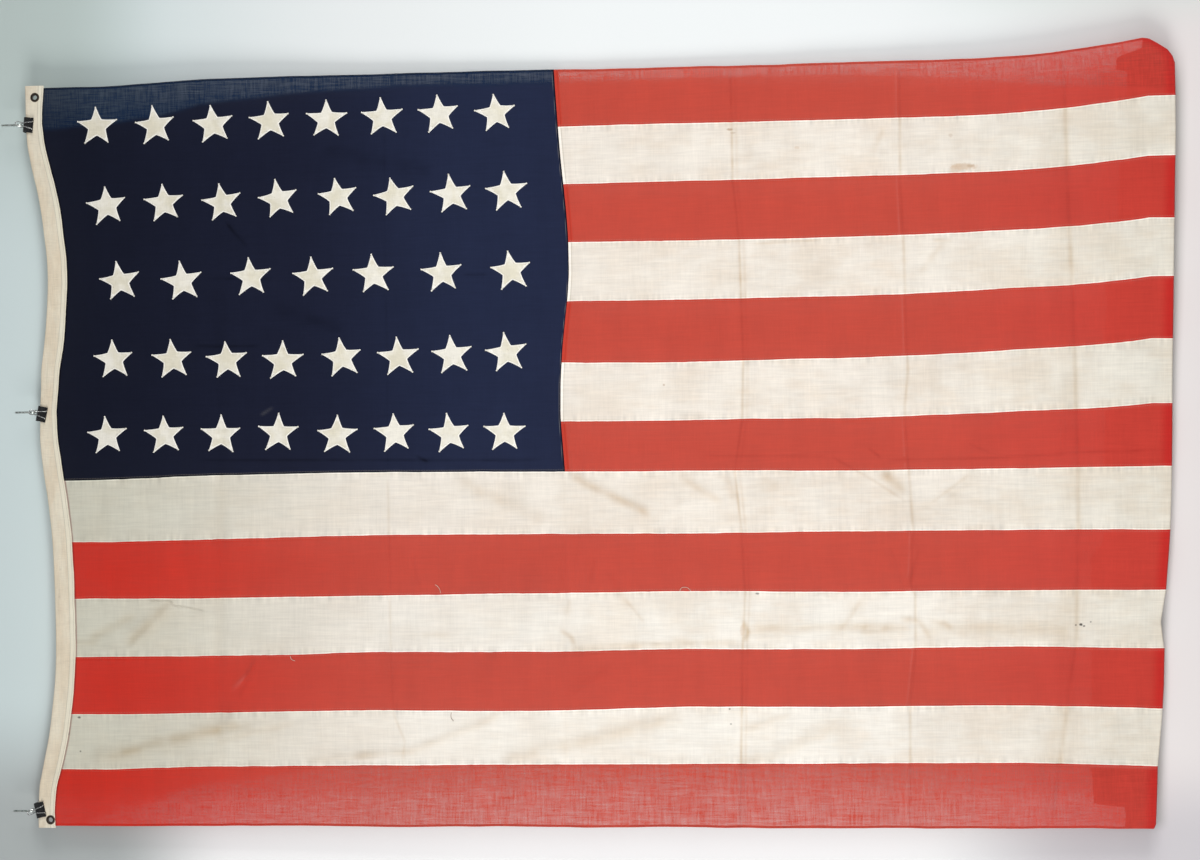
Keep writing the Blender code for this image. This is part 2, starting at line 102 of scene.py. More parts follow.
FOLD_LINE = (
    (-770, -2239), (-765, -2249), (-752, -2254), (-640, -2258), (-540, -2270), (-480, -2275),
    (-412, -2278), (-357, -2272), (-294, -2282), (-177, -2290), (19, -2298), (391, -2307),
    (607, -2313), (738, -2313), (752, -2309), (765, -2300), (779, -2280), (788, -2265),
    (794, -2248),
)
TORN_EDGE = (
    (-766, -2196), (-719, -2194), (-716, -2134), (-640, -2131), (-420, -2138),
    (-234, -2136), (-200, -2160), (-20, -2168), (178, -2171), (375, -2178),
    (405, -2200), (541, -2203), (600, -2216), (731, -2223), (738, -2201),
    (764, -2203), (772, -2250), (794, -2255),
)
FOLD_RADIUS = 0.0042
FLAP_LEAN = 0.0016
LEAST_FLAP = 0.006
FALL_START = 0.05
TURN = 0.026
TURN_LENGTH = 2.35
TURN_POWER = 1.5
SWAG = 0.013
SWAG_FADE = 0.75
FALL_WAVE = 0.0035
FALL_WAVE_EASE = 0.6
FALL_WAVE_LENGTH = 0.47
FALL_WAVE_SLANT = 0.18
FOOT_WAVE = 0.0045
FOOT_WAVE_START = -1.2
FOOT_WAVE_EASE = 0.9
FOOT_WAVE_LENGTH = 0.62
FOOT_WAVE_SHIFT = 0.1
STAR_RADIUS = 0.0435
STAR_INNER = 0.41
STAR_SWAY = 0.0015
STAR_ROWS = (
    (0.678, -0.142, (0.122, 0.119, 0.121, 0.118, 0.118, 0.117, 0.112)),
    (0.515, -0.158, (0.122, 0.122, 0.116, 0.123, 0.121, 0.111, 0.116)),
    (0.360, -0.186, (0.130, 0.146, 0.129, 0.126, 0.137, 0.141)),
    (0.194, -0.171, (0.119, 0.117, 0.119, 0.122, 0.115, 0.111, 0.110)),
    (0.040, -0.156, (0.117, 0.122, 0.118, 0.125, 0.115, 0.115, 0.112)),
)
# Each star's own shift from its row's even places, across the hoist and down the fly, in millimetres.
STAR_SHIFTS = (
    ((-3, -1), (-4, -1), (-6, -2), (1, 2), (-1, 3), (3, 6), (6, 6), (3, 2)),
    ((-7, -7), (-1, -4), (-4, -2), (0, -3), (4, -3), (-1, 2), (4, -4), (5, 0)),
    ((-5, -5), (-10, -5), (-1, -1), (-6, 0), (-1, 2), (-1, -1), (-1, -1)),
    ((1, -2), (-1, -6), (-6, -2), (-7, 1), (-5, 1), (-3, 0), (-3, 1), (0, -1)),
    ((-3, 0), (0, -4), (-4, 0), (-1, -2), (-7, 2), (-6, -2), (-6, 1), (-8, 1)),
)
STAR_TURNS = (
    (0.5, 6.5, 6.5, 4.0, 0.0, 5.0, 5.5, 6.5),
    (6.5, 6.0, 9.0, 11.0, 9.5, 13.0, 8.0, 6.5),
    (7.5, 7.5, 4.0, 6.5, 4.0, 4.5, 7.0),
    (4.0, 5.0, 3.5, 1.5, 6.0, 6.0, 7.0, 7.5),
    (5.0, 5.5, 0.0, -0.5, 0.5, 5.0, 5.5, 0.5),
)

# ---- Finer make of the cloth ----
GRID_U = 0.0033
GRID_Z = 0.0037
GRID_Z_AT_CREASE = 0.0018
CREASE_ROWS = (-0.387, -0.742, -1.095, -1.450, -1.783, -2.105)
CREASE_ROW_REACH = 0.016
SEAM_LAP = 0.007
HEM_WIDTH = 0.0045
HEM_BACK = 0.0009
HEM_SCALE = 2.4
HEM_TURN = 0.0010
HEM_PAST = 0.0005
LAP_BACK = 0.0009
LAP_TURN = 0.0008
LAP_TURN_BACK = 0.0006
SEAM_RIDGE = 0.0007
SEAM_RIDGE_REACH = 0.0022
NEAR_EDGE = (0.0, 0.0008, 0.0016, 0.0026, 0.0040, 0.0060)
INTO_HEADING = 0.008
GATHER = 0.15
GATHER_REACH = 0.075
SMOOTHING = 0.012
FOLD_STEPS = 10
FLAP_ROW = 0.0045
CANTON_LAP_BACK = 0.0012
FLAT_AT_HEADING = 0.03
HEADING_SAG_REACH = 0.12
# Raggedness of the torn edge: height, length and seed of each size of rag.
RAGS = ((0.0035, 0.021, 51), (0.0016, 0.006, 52))
FLAP_SOIL = 0.05
FAR = 1.0

# Creases: places (u, z) along the line, rise towards the viewer, reach, 1 for a sharp one, shift of
# the crest, then stain with painted shade, its reach and its shift; on the soft folds that column is
# painted shade, and below zero it lightens: a painted highlight on ridges, and one pale smear on the
# canton. Shifts are to the right of the photo for a line drawn down it, and up it for a line drawn
# to its right. Rise, reach and shift are in millimetres.
STORAGE_1 = (
    (762, -1444), (535, -1445), (411, -1456), (171, -1461), (52, -1457), (-50, -1441),
    (-168, -1452), (-292, -1458), (-388, -1452), (-527, -1448), (-762, -1441),
)
STORAGE_2 = (
    (762, -1777), (523, -1775), (404, -1780), (285, -1782), (144, -1784), (73, -1777),
    (-54, -1783), (-171, -1789), (-280, -1784), (-300, -1791), (-411, -1791),
    (-520, -1778), (-762, -1773),
)
STORAGE_3 = (
    (768, -2099), (422, -2107), (183, -2114), (-53, -2116), (-299, -2111), (-391, -2109),
    (-519, -2088), (-631, -2071), (-735, -2056),
)
CREASES = (
    (STORAGE_1, -0.5, 4, 1, 0, 0.44, 2.8, 0),
    (STORAGE_1, 0.3, 6, 0, 8, 0.2, 3, 9),
    (STORAGE_2, 0.6, 4, 1, -4, -0.04, 3, -4),
    (STORAGE_2, -0.8, 3.5, 1, 2, 0.3, 3, 2),
    (STORAGE_3, -0.8, 5, 1, 0, 0.26, 5, -2),
    (STORAGE_3, 0.6, 14, 0, -12, 0.12, 22, -16),
    (((-52, -739), (-414, -742), (-530, -746), (-587, -768), (-640, -763)),
     -0.9, 3.5, 1, 0, 0.16, 3, 0),
    (((740, -738), (-52, -739)), -0.7, 4, 1, 0, 0.1, 3, 0),
    (((740, -389), (-55, -393), (-239, -388), (-413, -382), (-640, -387)),
     -1.8, 16, 0, 0, 0.08, 14, 0),
    (((-52, -1098), (-300, -1094), (-640, -1096)), -0.8, 7, 0, 0, 0.05, 6, 0),
    # Along the fly, white stripe below the second long red one.
    (((-394, -1100), (-388, -1206), (-385, -1286), (-381, -1450)),
     1, 4, 1, 0, 0.32, 8, -9),
    (((-356, -1462), (-353, -1625), (-353, -1700), (-358, -1789)),
     1, 4, 1, 0, 0.3, 8, -9),
    (((-365, -1800), (-361, -1920), (-367, -2102)), 0.8, 6, 0, 4, 0.24, 14, -6),
    (((-384, -50), (-386, -140)), 0.6, 5, 0, 0, 0.14, 6, 0),
    (((-372, -800), (-372, -870)), 0.6, 5, 0, 0, 0.14, 6, 0),
    # Wrinkles where those lines cross.
    (((-362, -1085), (-378, -1110), (-398, -1118)), 1.2, 4, 1, 0, 0.3, 5, 0),
    (((-345, -1452), (-370, -1462), (-392, -1452)), 1.2, 4, 1, 0, 0.55, 5.5, 0),
    (((-350, -1700), (-372, -1690), (-372, -1720), (-360, -1745)), 1, 4, 1, 0, 0.3, 6, 0),
    (((-345, -1760), (-352, -1800), (-370, -1812), (-392, -1822)), 1.2, 4, 1, 0, 0.34, 6, 0),
    (((-352, -1815), (-356, -1850), (-372, -1868)), 1, 4, 1, 0, 0.26, 6, 0),
    # Red stripe beside the canton's foot, and the white one under it.
    (((-19, -1370), (-21, -1511), (-23, -1628)), -0.9, 3, 1, 0, 0.34, 2.6, 0),
    (((-23, -1628), (-74, -1715), (-118, -1780)), 1.4, 3.5, 1, 0, 0.3, 3, 1.5),
    (((-60, -1722), (-108, -1776)), 0.9, 9, 0, 10, 0.5, 11, 9),
    (((-6, -1704), (-28, -1732)), -1, 3, 1, 0, 0.45, 2.6, 0),
    (((-32, -1740), (-30, -1963), (-20, -2157), (-20, -2286)), -1, 3, 1, 0, 0.42, 2.8, 0),
    (((1, -1898), (-22, -1948)), -0.8, 3, 1, 0, 0.3, 2.6, 0),
    (((-58, -1906), (-122, -1819)), 1.1, 3.5, 1, 0, 0.26, 3, 2),
    (((-62, -1925), (-118, -1850)), 0.6, 12, 0, 0, 0.13, 12, 0),
    (((404, -1474), (409, -1627)), 0.8, 3, 1, 0, 0.32, 2.4, 0),
    # Soft shade and low ridges beside the heading.
    (((-624, -139), (-593, -243), (-569, -345), (-552, -467)), -1.2, 12, 0, 0, 0.2, 10, 0),
    (((-585, -370), (-560, -450), (-540, -549)), 2.2, 8, 0, 0, 0.16, 8, -9),
    (((-382, -110), (-351, -170), (-324, -220)), -1, 11, 0, 0, 0.22, 10, 0),
    (((-403, -196), (-350, -250), (-301, -300)), 2.6, 7, 0, 0, 0.2, 8, 9),
    (((-420, -120), (-415, -250)), 0.8, 4, 0, 0, 0.16, 4, 0),
    (((-486, -410), (-450, -450), (-413, -471)), 2.4, 4.5, 0, 0, -0.07, 5, 0),
    # Soft slanting folds, their stain column painted shade.
    (((-56, -870), (-154, -1060)), 2.4, 16, 0, 0, 0.17, 15, 3),
    (((-50, -1105), (-72, -1140), (-101, -1200), (-140, -1275)), 3.9, 10, 0, 4, 0.42, 9, 2),
    (((-59, -1325), (-118, -1420)), 3, 10, 0, 3, 0.26, 9, 2),
    (((-60, -1425), (-110, -1440)), 2.1, 8, 0, 0, 0.22, 8, 0),
    (((-62, -1490), (-90, -1530)), 1.8, 9, 0, 0, 0.16, 10, 0),
    (((636, -1750), (576, -1722)), -1.5, 6, 0, 0, 0.16, 6, 0),
    (((402, -1864), (332, -1807)), -1.5, 6, 0, 0, 0.18, 6, 0),
    (((404, -1835), (402, -1880)), 1.4, 5, 0, 0, 0.22, 5, 0),
    (((-305, -285), (-345, -235), (-381, -180)), 3, 12, 0, 0, 0.14, 16, 12),
    (((-300, -1217), (-353, -1259)), 1.8, 3.5, 1, 0, 0.22, 3.5, 0),
    (((-306, -1689), (-375, -1640)), 1.8, 5, 0, 0, 0.2, 5, 0),
    (((-300, -1108), (-340, -1100)), 1.2, 5, 0, 0, 0.16, 6, 0),
    (((-627, -110), (-578, -325), (-545, -430)), 3.9, 16, 0, 0, 0.17, 18, -3),
    (((-631, -560), (-611, -714)), 2.1, 9, 0, 0, 0.14, 9, 0),
    (((-618, -660), (-607, -778), (-551, -924), (-528, -970)), 2.7, 9, 0, 0, 0.17, 9, 0),
    (((-627, -960), (-587, -1131), (-537, -1330)), 3, 13, 0, 0, 0.22, 15, 0),
    (((-569, -1440), (-532, -1552)), 2, 7, 0, 0, 0.16, 7, 0),
    (((-641, -1440), (-602, -1540), (-548, -1640)), 2.4, 13, 0, 0, 0.17, 13, 0),
    (((-419, -469), (-507, -426)), 2.1, 10, 0, 0, 0.22, 6, 0),
    (((-198, -784), (-287, -803)), -1.5, 4, 1, 0, 0.2, 4, 0),
    (((-217, -1158), (-273, -1149)), -1.5, 3.5, 1, 0, 0.3, 3, 0),
    (((-240, -1180), (-330, -1230)), 1.5, 8, 0, 0, 0.12, 7, 0),
    (((-199, -1807), (-288, -1778)), -1.5, 4, 1, 0, 0.2, 4, 0),
    (((-199, -1746), (-288, -1772)), -1.2, 4, 0, 0, 0.14, 4, 0),
    (((-500, -1100), (-430, -1200)), 2.1, 12, 0, 0, 0.16, 11, 0),
    # On the canton, with one pale smear.
    (((476, -409), (451, -428), (418, -458)), -1.2, 3.5, 1, 0, 0.6, 3.5, 0),
    (((357, -365), (354, -510)), -1, 3, 1, 0, 0.55, 2.6, 0),
    (((355, -895), (354, -950)), -1, 3, 1, 0, 0.55, 2.6, 0),
    (((220, -335), (217, -485)), -1, 3, 1, 0, 0.55, 2.6, 0),
    (((-14, -350), (-16, -558), (-20, -814), (-23, -1055)), -0.9, 3, 1, 0, 0.45, 2.6, 0),
    (((-9, -794), (-25, -824)), -1, 3, 1, 0, 0.5, 3, 0),
    (((75, -476), (83, -489), (93, -505)), 0.3, 3, 0, 0, -0.07, 2.6, 0),
    (((300, -500), (240, -660)), 1, 16, 0, 0, 0.25, 14, 0),
    (((620, -600), (560, -850)), 1, 18, 0, 0, 0.2, 16, 0),
)

# Where the cloth stands in front of a lit wall: places (u, z) of the inner boundary, down each side.
SHEER_UNION = (
    (672, -34), (689, -256), (717, -361), (734, -549), (743, -776), (742, -1081),
    (741, -1500), (739, -1700), (716, -1939), (699, -2098), (690, -2300),
)
SHEER_OTHER = ((-790, -60), (-741, -129), (-675, -346), (-654, -515), (-630, -632))
# How much light gets there: distances down the fly in metres, and the share at each.
SHEER_UNION_BY_FALL = ((0, 0.15, 1.0, 1.6, 2.4), (0.5, 1, 0.9, 0.8, 0.9))
SHEER_OTHER_BY_FALL = ((0, 0.25, 0.9, 1.5, 2.3), (0.25, 0.6, 1, 0.9, 0.6))

# Marks on the white bunting: place (u, z), half size across and down the fly in mm, strength, kind.
# Kinds: 0 brown, 1 near black, 2 pale brown.
MARKS = (
    (547, -1902, 7, 25, 0.55, 2), (543, -1886, 10, 12, 0.4, 2), (548, -1915, 3, 9, 0.35, 0),
    (609, -1877, 4, 4.5, 0.25, 0), (594, -1574, 3, 5, 0.35, 2), (635, -1441, 2.6, 7, 0.6, 0),
    (124, -1302, 2.4, 2.4, 0.5, 0), (628, -1447, 1.8, 6, 0.35, 0),
    (-294, -1482, 2, 4, 0.6, 1), (-523, -1424, 2.2, 2.2, 0.6, 1), (-553, -1426, 2, 2.2, 0.5, 1),
    (-361, -2116, 2.8, 3.6, 0.95, 1), (-362, -2106, 1.8, 2, 0.6, 1), (-364, -2122, 2, 2.2, 0.8, 1),
    (-356, -2135, 1.8, 1.8, 0.6, 1), (-539, -90, 2.2, 4, 0.8, 1), (-572, -66, 4, 2.6, 0.7, 1),
    (-609, -91, 1.8, 2.2, 0.7, 1), (-366, -1452, 12, 6, 0.35, 2), (290, -1466, 26, 5, 0.18, 2),
)
MARK_TINTS = ((0.40, 0.24, 0.12), (0.06, 0.05, 0.045), (0.60, 0.42, 0.27))
# Loose threads: (u, z) points, and 0 pale or 1 dark.
THREADS = (
    (((-299, -245), (-301, -268), (-302, -289), (-310, -294), (-313, -318), (-321, -356)), 0),
    (((-271, -834), (-278, -842), (-289, -846)), 0),
    (((-288, -1328), (-282, -1331), (-280, -1338), (-282, -1345), (-288, -1350)), 0),
    (((-528, -865), (-538, -864), (-546, -869)), 1),
    (((-414, -536), (-420, -538), (-424, -546)), 0),
)


def ease(value):
    value = np.clip(value, 0.0, 1.0)
    return value * value * (3.0 - 2.0 * value)


def hashed(i, j, seed):
    """A repeatable number from -1 to 1 for each whole i and j."""
    n = i.astype(np.int64) * 374761393 + j.astype(np.int64) * 668265263 + seed * 974634777
    n &= 0xFFFFFFFF
    n = ((n ^ (n >> 13)) * 1274126177) & 0xFFFFFFFF
    return ((n ^ (n >> 16)) & 0xFFFF) / 32767.5 - 1.0


def noise(x, y, seed):
    """Smooth value noise from -1 to 1."""
    x, y = np.broadcast_arrays(np.asarray(x, float), np.asarray(y, float))
    i, j = np.floor(x), np.floor(y)
    a, b = ease(x - i), ease(y - j)
    top = hashed(i, j, seed) * (1 - a) + hashed(i + 1, j, seed) * a
    low = hashed(i, j + 1, seed) * (1 - a) + hashed(i + 1, j + 1, seed) * a
    return top * (1 - b) + low * b


def along(line, u):
    """The second number of a table's places, at u."""
    points = np.array(line) / 1000.0
    return np.interp(u, points[:, 0], points[:, 1])


def down_line(line, z):
    """Where a line of places down the fly lies across the hoist, at height z."""
    points = np.array(line) / 1000.0
    return np.interp(-z, -points[:, 1], points[:, 0])


def smoothed(line, u, weights):
    """The same as along, averaged with the places a little to either side."""
    near = (-SMOOTHING, 0.0, SMOOTHING)
    return sum(weight * along(line, u + step) for weight, step in zip(weights, near)) / sum(weights)


SEAMS_MID = HOIST / 2 - 0.002 - np.concatenate(([0.0], np.cumsum(WIDTHS_MID)))
SEAMS_FLY = FLY_EDGE_U - np.concatenate(([0.0], np.cumsum(WIDTHS_FLY)))
CLIP_U = [x - FLAG_X for x in CLIP_X]


def span(u):
    """Which stretch between two clips u is in, and how far along it is."""
    second = u < CLIP_U[1]
    share = np.where(
        second, (CLIP_U[1] - u) / (CLIP_U[1] - CLIP_U[2]), (CLIP_U[0] - u) / (CLIP_U[0] - CLIP_U[1])
    )
    return second.astype(int), np.clip(share, 0.0, 1.0)


def top_edge(u):
    index, share = span(u)
    ends = np.array(EDGE_AT_CLIP)
    level = ends[index] * (1 - share) + ends[index + 1] * share
    sag = np.array(EDGE_SAG)[index] * np.sin(np.pi * share) ** EDGE_SAG_POWER
    return level - sag + smoothed(EDGE_SHIFTS, u, (1, 1, 1))


def cloth_y(u, z):
    """Depth of the middle of the hanging cloth."""
    _, share = span(u)
    fall = top_edge(u) - z
    swag = SWAG * np.sin(np.pi * share) ** 2 * np.exp(-fall / SWAG_FADE)
    easing = ease((fall - FALL_START) / FALL_WAVE_EASE)
    wave = FALL_WAVE * easing * np.sin(2 * np.pi * (u + FALL_WAVE_SLANT * z) / FALL_WAVE_LENGTH)
    easing = ease((FOOT_WAVE_START - z) / FOOT_WAVE_EASE)
    foot = FOOT_WAVE * easing * np.sin(2 * np.pi * (u - FOOT_WAVE_SHIFT) / FOOT_WAVE_LENGTH)
    turned = np.sin(np.pi * np.clip((fall - FALL_START) / TURN_LENGTH, 0.0, 1.0)) ** TURN_POWER
    return CLOTH_Y - swag + wave + foot + TURN * u / (HOIST / 2) * turned


def seam_wander(number, z):
    """How far a sewn line strays from straight."""
    outer = (number < 0.5) | (number > 12.5)
    amount = np.where(outer, 0.0014, 0.0009)
    slow = noise(z / 0.19 + number * 7.3, number, 11)
    fast = noise(z / 0.045 + number * 3.1, number, 12)
    return amount * (slow + 0.45 * fast)


def seam_shift(place, z):
    """The measured shift of a seam from its even place."""
    shifts = np.array(SEAM_SHIFTS) / 1000.0
    level = np.clip(np.interp(-z, SHIFT_AT, np.arange(len(SHIFT_AT))), 0, len(SHIFT_AT) - 1.001)
    place = np.clip(place, 0, len(SEAM_SHIFTS) - 1.001)
    i, j = np.floor(place).astype(int), np.floor(level).astype(int)
    over, down = place - i, ease(level - j) * 0.5 + (level - j) * 0.5
    upper = shifts[i, j] * (1 - over) + shifts[i + 1, j] * over
    lower = shifts[i, j + 1] * (1 - over) + shifts[i + 1, j + 1] * over
    return upper * (1 - down) + lower * down


def seam_u(place, z):
    """Where a line along the fly lies at height z. Place counts seams, in whole numbers or parts."""
    place, z = np.broadcast_arrays(np.asarray(place, float), np.asarray(z, float))
    count = np.arange(len(SEAMS_MID))
    mid, fly = np.interp(place, count, SEAMS_MID), np.interp(place, count, SEAMS_FLY)
    flare = np.clip((FLARE_START - z) / (FLARE_START - FLARE_END), 0.0, 1.0) ** FLARE_POWER
    low = np.floor(place)
    part = place - low
    stray = seam_wander(low, z) * (1 - part) + seam_wander(low + 1, z) * part
    return mid + (fly - mid) * flare + stray + seam_shift(place, z)


def canton_end(u):
    return smoothed(CANTON_END_LINE, u, (1, 2, 1))


def gathered(u):
    """How much the heading is drawn together at a clip, from 0 to 1."""
    return np.max([np.exp(-(((u - clip) / GATHER_REACH) ** 2)) for clip in CLIP_U], axis=0)


def widening(u):
    """The share by which the heading is wider than its mean width. It is less at the clips."""
    return -GATHER * gathered(u)


def heading_sag(u):
    """How far the heading strays from its mean plane between the places that hold it."""
    free = np.ones(np.shape(u))
    for held in CLIP_U + [x - FLAG_X for x, _ in GROMMETS]:
        free = np.minimum(free, ease((np.abs(u - held) - 0.015) / 0.045))
    return 0.0024 * noise(u / 0.16, 0.7, 65) * free


def sheerness(u, z):
    """1 where light gets between the cloth and the wall behind it, along the two sides."""
    z, u = np.broadcast_arrays(z, u)
    stray = 0.002 * noise(z / 0.06, 0.4, 81)
    near_union = ease((u - down_line(SHEER_UNION, z) + stray) / 0.014 + 0.5)
    near_union = near_union * np.interp(-z, *SHEER_UNION_BY_FALL)
    near_other = ease((down_line(SHEER_OTHER, z) - u + stray) / 0.030 + 0.5)
    near_other = near_other * np.interp(-z, *SHEER_OTHER_BY_FALL)
    return np.maximum(near_union, near_other)


def line_field(points, u, z):
    """Signed distance to a line of points, and how far from its nearer end the foot of it lies."""
    runs = np.linalg.norm(np.diff(points, axis=0), axis=1)
    total, before = runs.sum(), 0.0
    best = np.full(u.shape, 9.0)
    signed, reach = np.zeros(u.shape), np.zeros(u.shape)
    for (a, b), run in zip(zip(points, points[1:]), runs):
        du, dz = (b - a) / run
        s = np.clip((u - a[0]) * du + (z - a[1]) * dz, 0.0, run)
        off_u, off_z = u - a[0] - s * du, z - a[1] - s * dz
        distance = np.hypot(off_u, off_z)
        side = np.sign(du * off_z - dz * off_u)
        closer = distance < best
        best = np.where(closer, distance, best)
        signed = np.where(closer, distance * side, signed)
        reach = np.where(closer, np.minimum(before + s, total - before - s), reach)
        before += run
    return signed, reach, total


def creases(u, z):
    """Lift of the cloth towards the viewer, and its crease stain with painted shade and highlights,
    from the creases.
    """
    lift, stain = np.zeros(u.shape), np.zeros(u.shape)
    for line, rise, reach, sharp, shift, dirt_and_shade, dirt_and_shade_reach, dirt_and_shade_shift in CREASES:
        points = np.array(line) / 1000.0
        margin = 0.003 * max(reach, dirt_and_shade_reach) + 0.001 * max(abs(shift), abs(dirt_and_shade_shift))
        low, high = np.min(points, axis=0) - margin, np.max(points, axis=0) + margin
        near = (u > low[0]) & (u < high[0]) & (z > low[1]) & (z < high[1])
        if not near.any():
            continue
        signed, inside, total = line_field(points, u[near], z[near])
        fade = ease(inside / min(0.03, total * 0.3) + 0.12)
        off = np.abs(signed - 0.001 * shift) / (0.001 * reach)
        lift[near] += 0.001 * rise * fade * np.exp(-off if sharp else -off * off)
        off = (signed - 0.001 * dirt_and_shade_shift) / (0.001 * dirt_and_shade_reach)
        patchy = 1.0 + 0.45 * noise(u[near] / 0.021, z[near] / 0.021, 31)
        stain[near] += dirt_and_shade * fade * patchy * np.exp(-off * off)
    return lift, stain


def cockle(u, z, seed):
    """The small uneven lift of worn cloth, with puckers at the seams handled apart."""
    broad = 0.0011 * noise(u / 0.11, z / 0.16, seed)
    mid = 0.00035 * noise(u / 0.035, z / 0.05, seed + 1)
    return broad + mid


def pucker(edge, z, seed):
    """Ripples along a sewn edge."""
    ripple = noise(z / 0.011, seed * 1.7, 41) + 0.7 * noise(z / 0.027, seed * 2.3, 42)
    return 0.00032 * ripple * np.exp(-edge / 0.010)


# ---- Mesh making ----
def grid_faces(columns, rows):
    index = np.arange(columns * rows).reshape(columns, rows)
    corners = (index[:-1, :-1], index[1:, :-1], index[1:, 1:], index[:-1, 1:])
    return np.stack([c.ravel() for c in corners], axis=1)


def make_piece(name, verts, faces, mats, slot, values=None, face_mats=None):
    mesh = bpy.data.meshes.new(name)
    corners = [tuple(face) for face in np.asarray(faces, dtype=object)]
    mesh.from_pydata(np.asarray(verts).tolist(), [], corners)
    for mat in mats:
        mesh.materials.append(mat)
    if face_mats is not None:
        mesh.polygons.foreach_set("material_index", face_mats)
    for key, value in (values or {}).items():
        layer = mesh.attributes.new(key, "FLOAT", "POINT")
        layer.data.foreach_set("value", np.asarray(value, np.float32).ravel())
    mesh.shade_smooth()
    mesh.update()
    obj = bpy.data.objects.new(name, mesh)
    bpy.context.scene.collection.objects.link(obj)
    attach(obj, "root")
    return obj


def column_plan(width, hem_first, hem_last):
    """Columns of a panel: share of the width, extra in u, set back, distance to the nearest edge."""
    plan = []
    if hem_first:
        plan += [(0, -across, HEM_BACK, 0) for across in (HEM_WIDTH, HEM_WIDTH / 2, HEM_TURN)]
        plan += [(0, 0.0, HEM_BACK / 2, 0)]
    scale, past = (HEM_SCALE, HEM_PAST) if hem_first else (1, 0.0)
    for edge in NEAR_EDGE:
        plan.append((0, -edge - past, 0, edge * scale))
    near = NEAR_EDGE[-1]
    count = max(int(round((width - 2 * near) / GRID_U)), 2)
    for step in range(1, count):
        at = near + (width - 2 * near) * step / count
        plan.append((at / width, 0, 0, min(at, width - at)))
    scale, past = (HEM_SCALE, HEM_PAST) if hem_last else (1, 0.0)
    for edge in reversed(NEAR_EDGE):
        plan.append((1, edge + past, 0, edge * scale))
    if hem_last:
        plan += [(1, 0.0, HEM_BACK / 2, 0)]
        plan += [(1, across, HEM_BACK, 0) for across in (HEM_TURN, HEM_WIDTH / 2, HEM_WIDTH)]
    else:
        laps = ((LAP_TURN, LAP_TURN_BACK), (SEAM_LAP / 2, LAP_BACK), (SEAM_LAP, LAP_BACK))
        plan += [(1, -across, back, 0) for across, back in laps]
    return np.array(plan)


def row_shares(start, end):
    """Shares of the way from start down to end, closer together at the storage creases."""
    places, z = [], start
    while z > end:
        places.append(z)
        close = min(abs(z - row) for row in CREASE_ROWS) < CREASE_ROW_REACH
        z -= GRID_Z_AT_CREASE if close else GRID_Z
    places.append(end)
    if len(places) > 2 and places[-2] - end < GRID_Z_AT_CREASE / 2:
        places.pop(-2)
    return (start - np.array(places)) / (start - end)


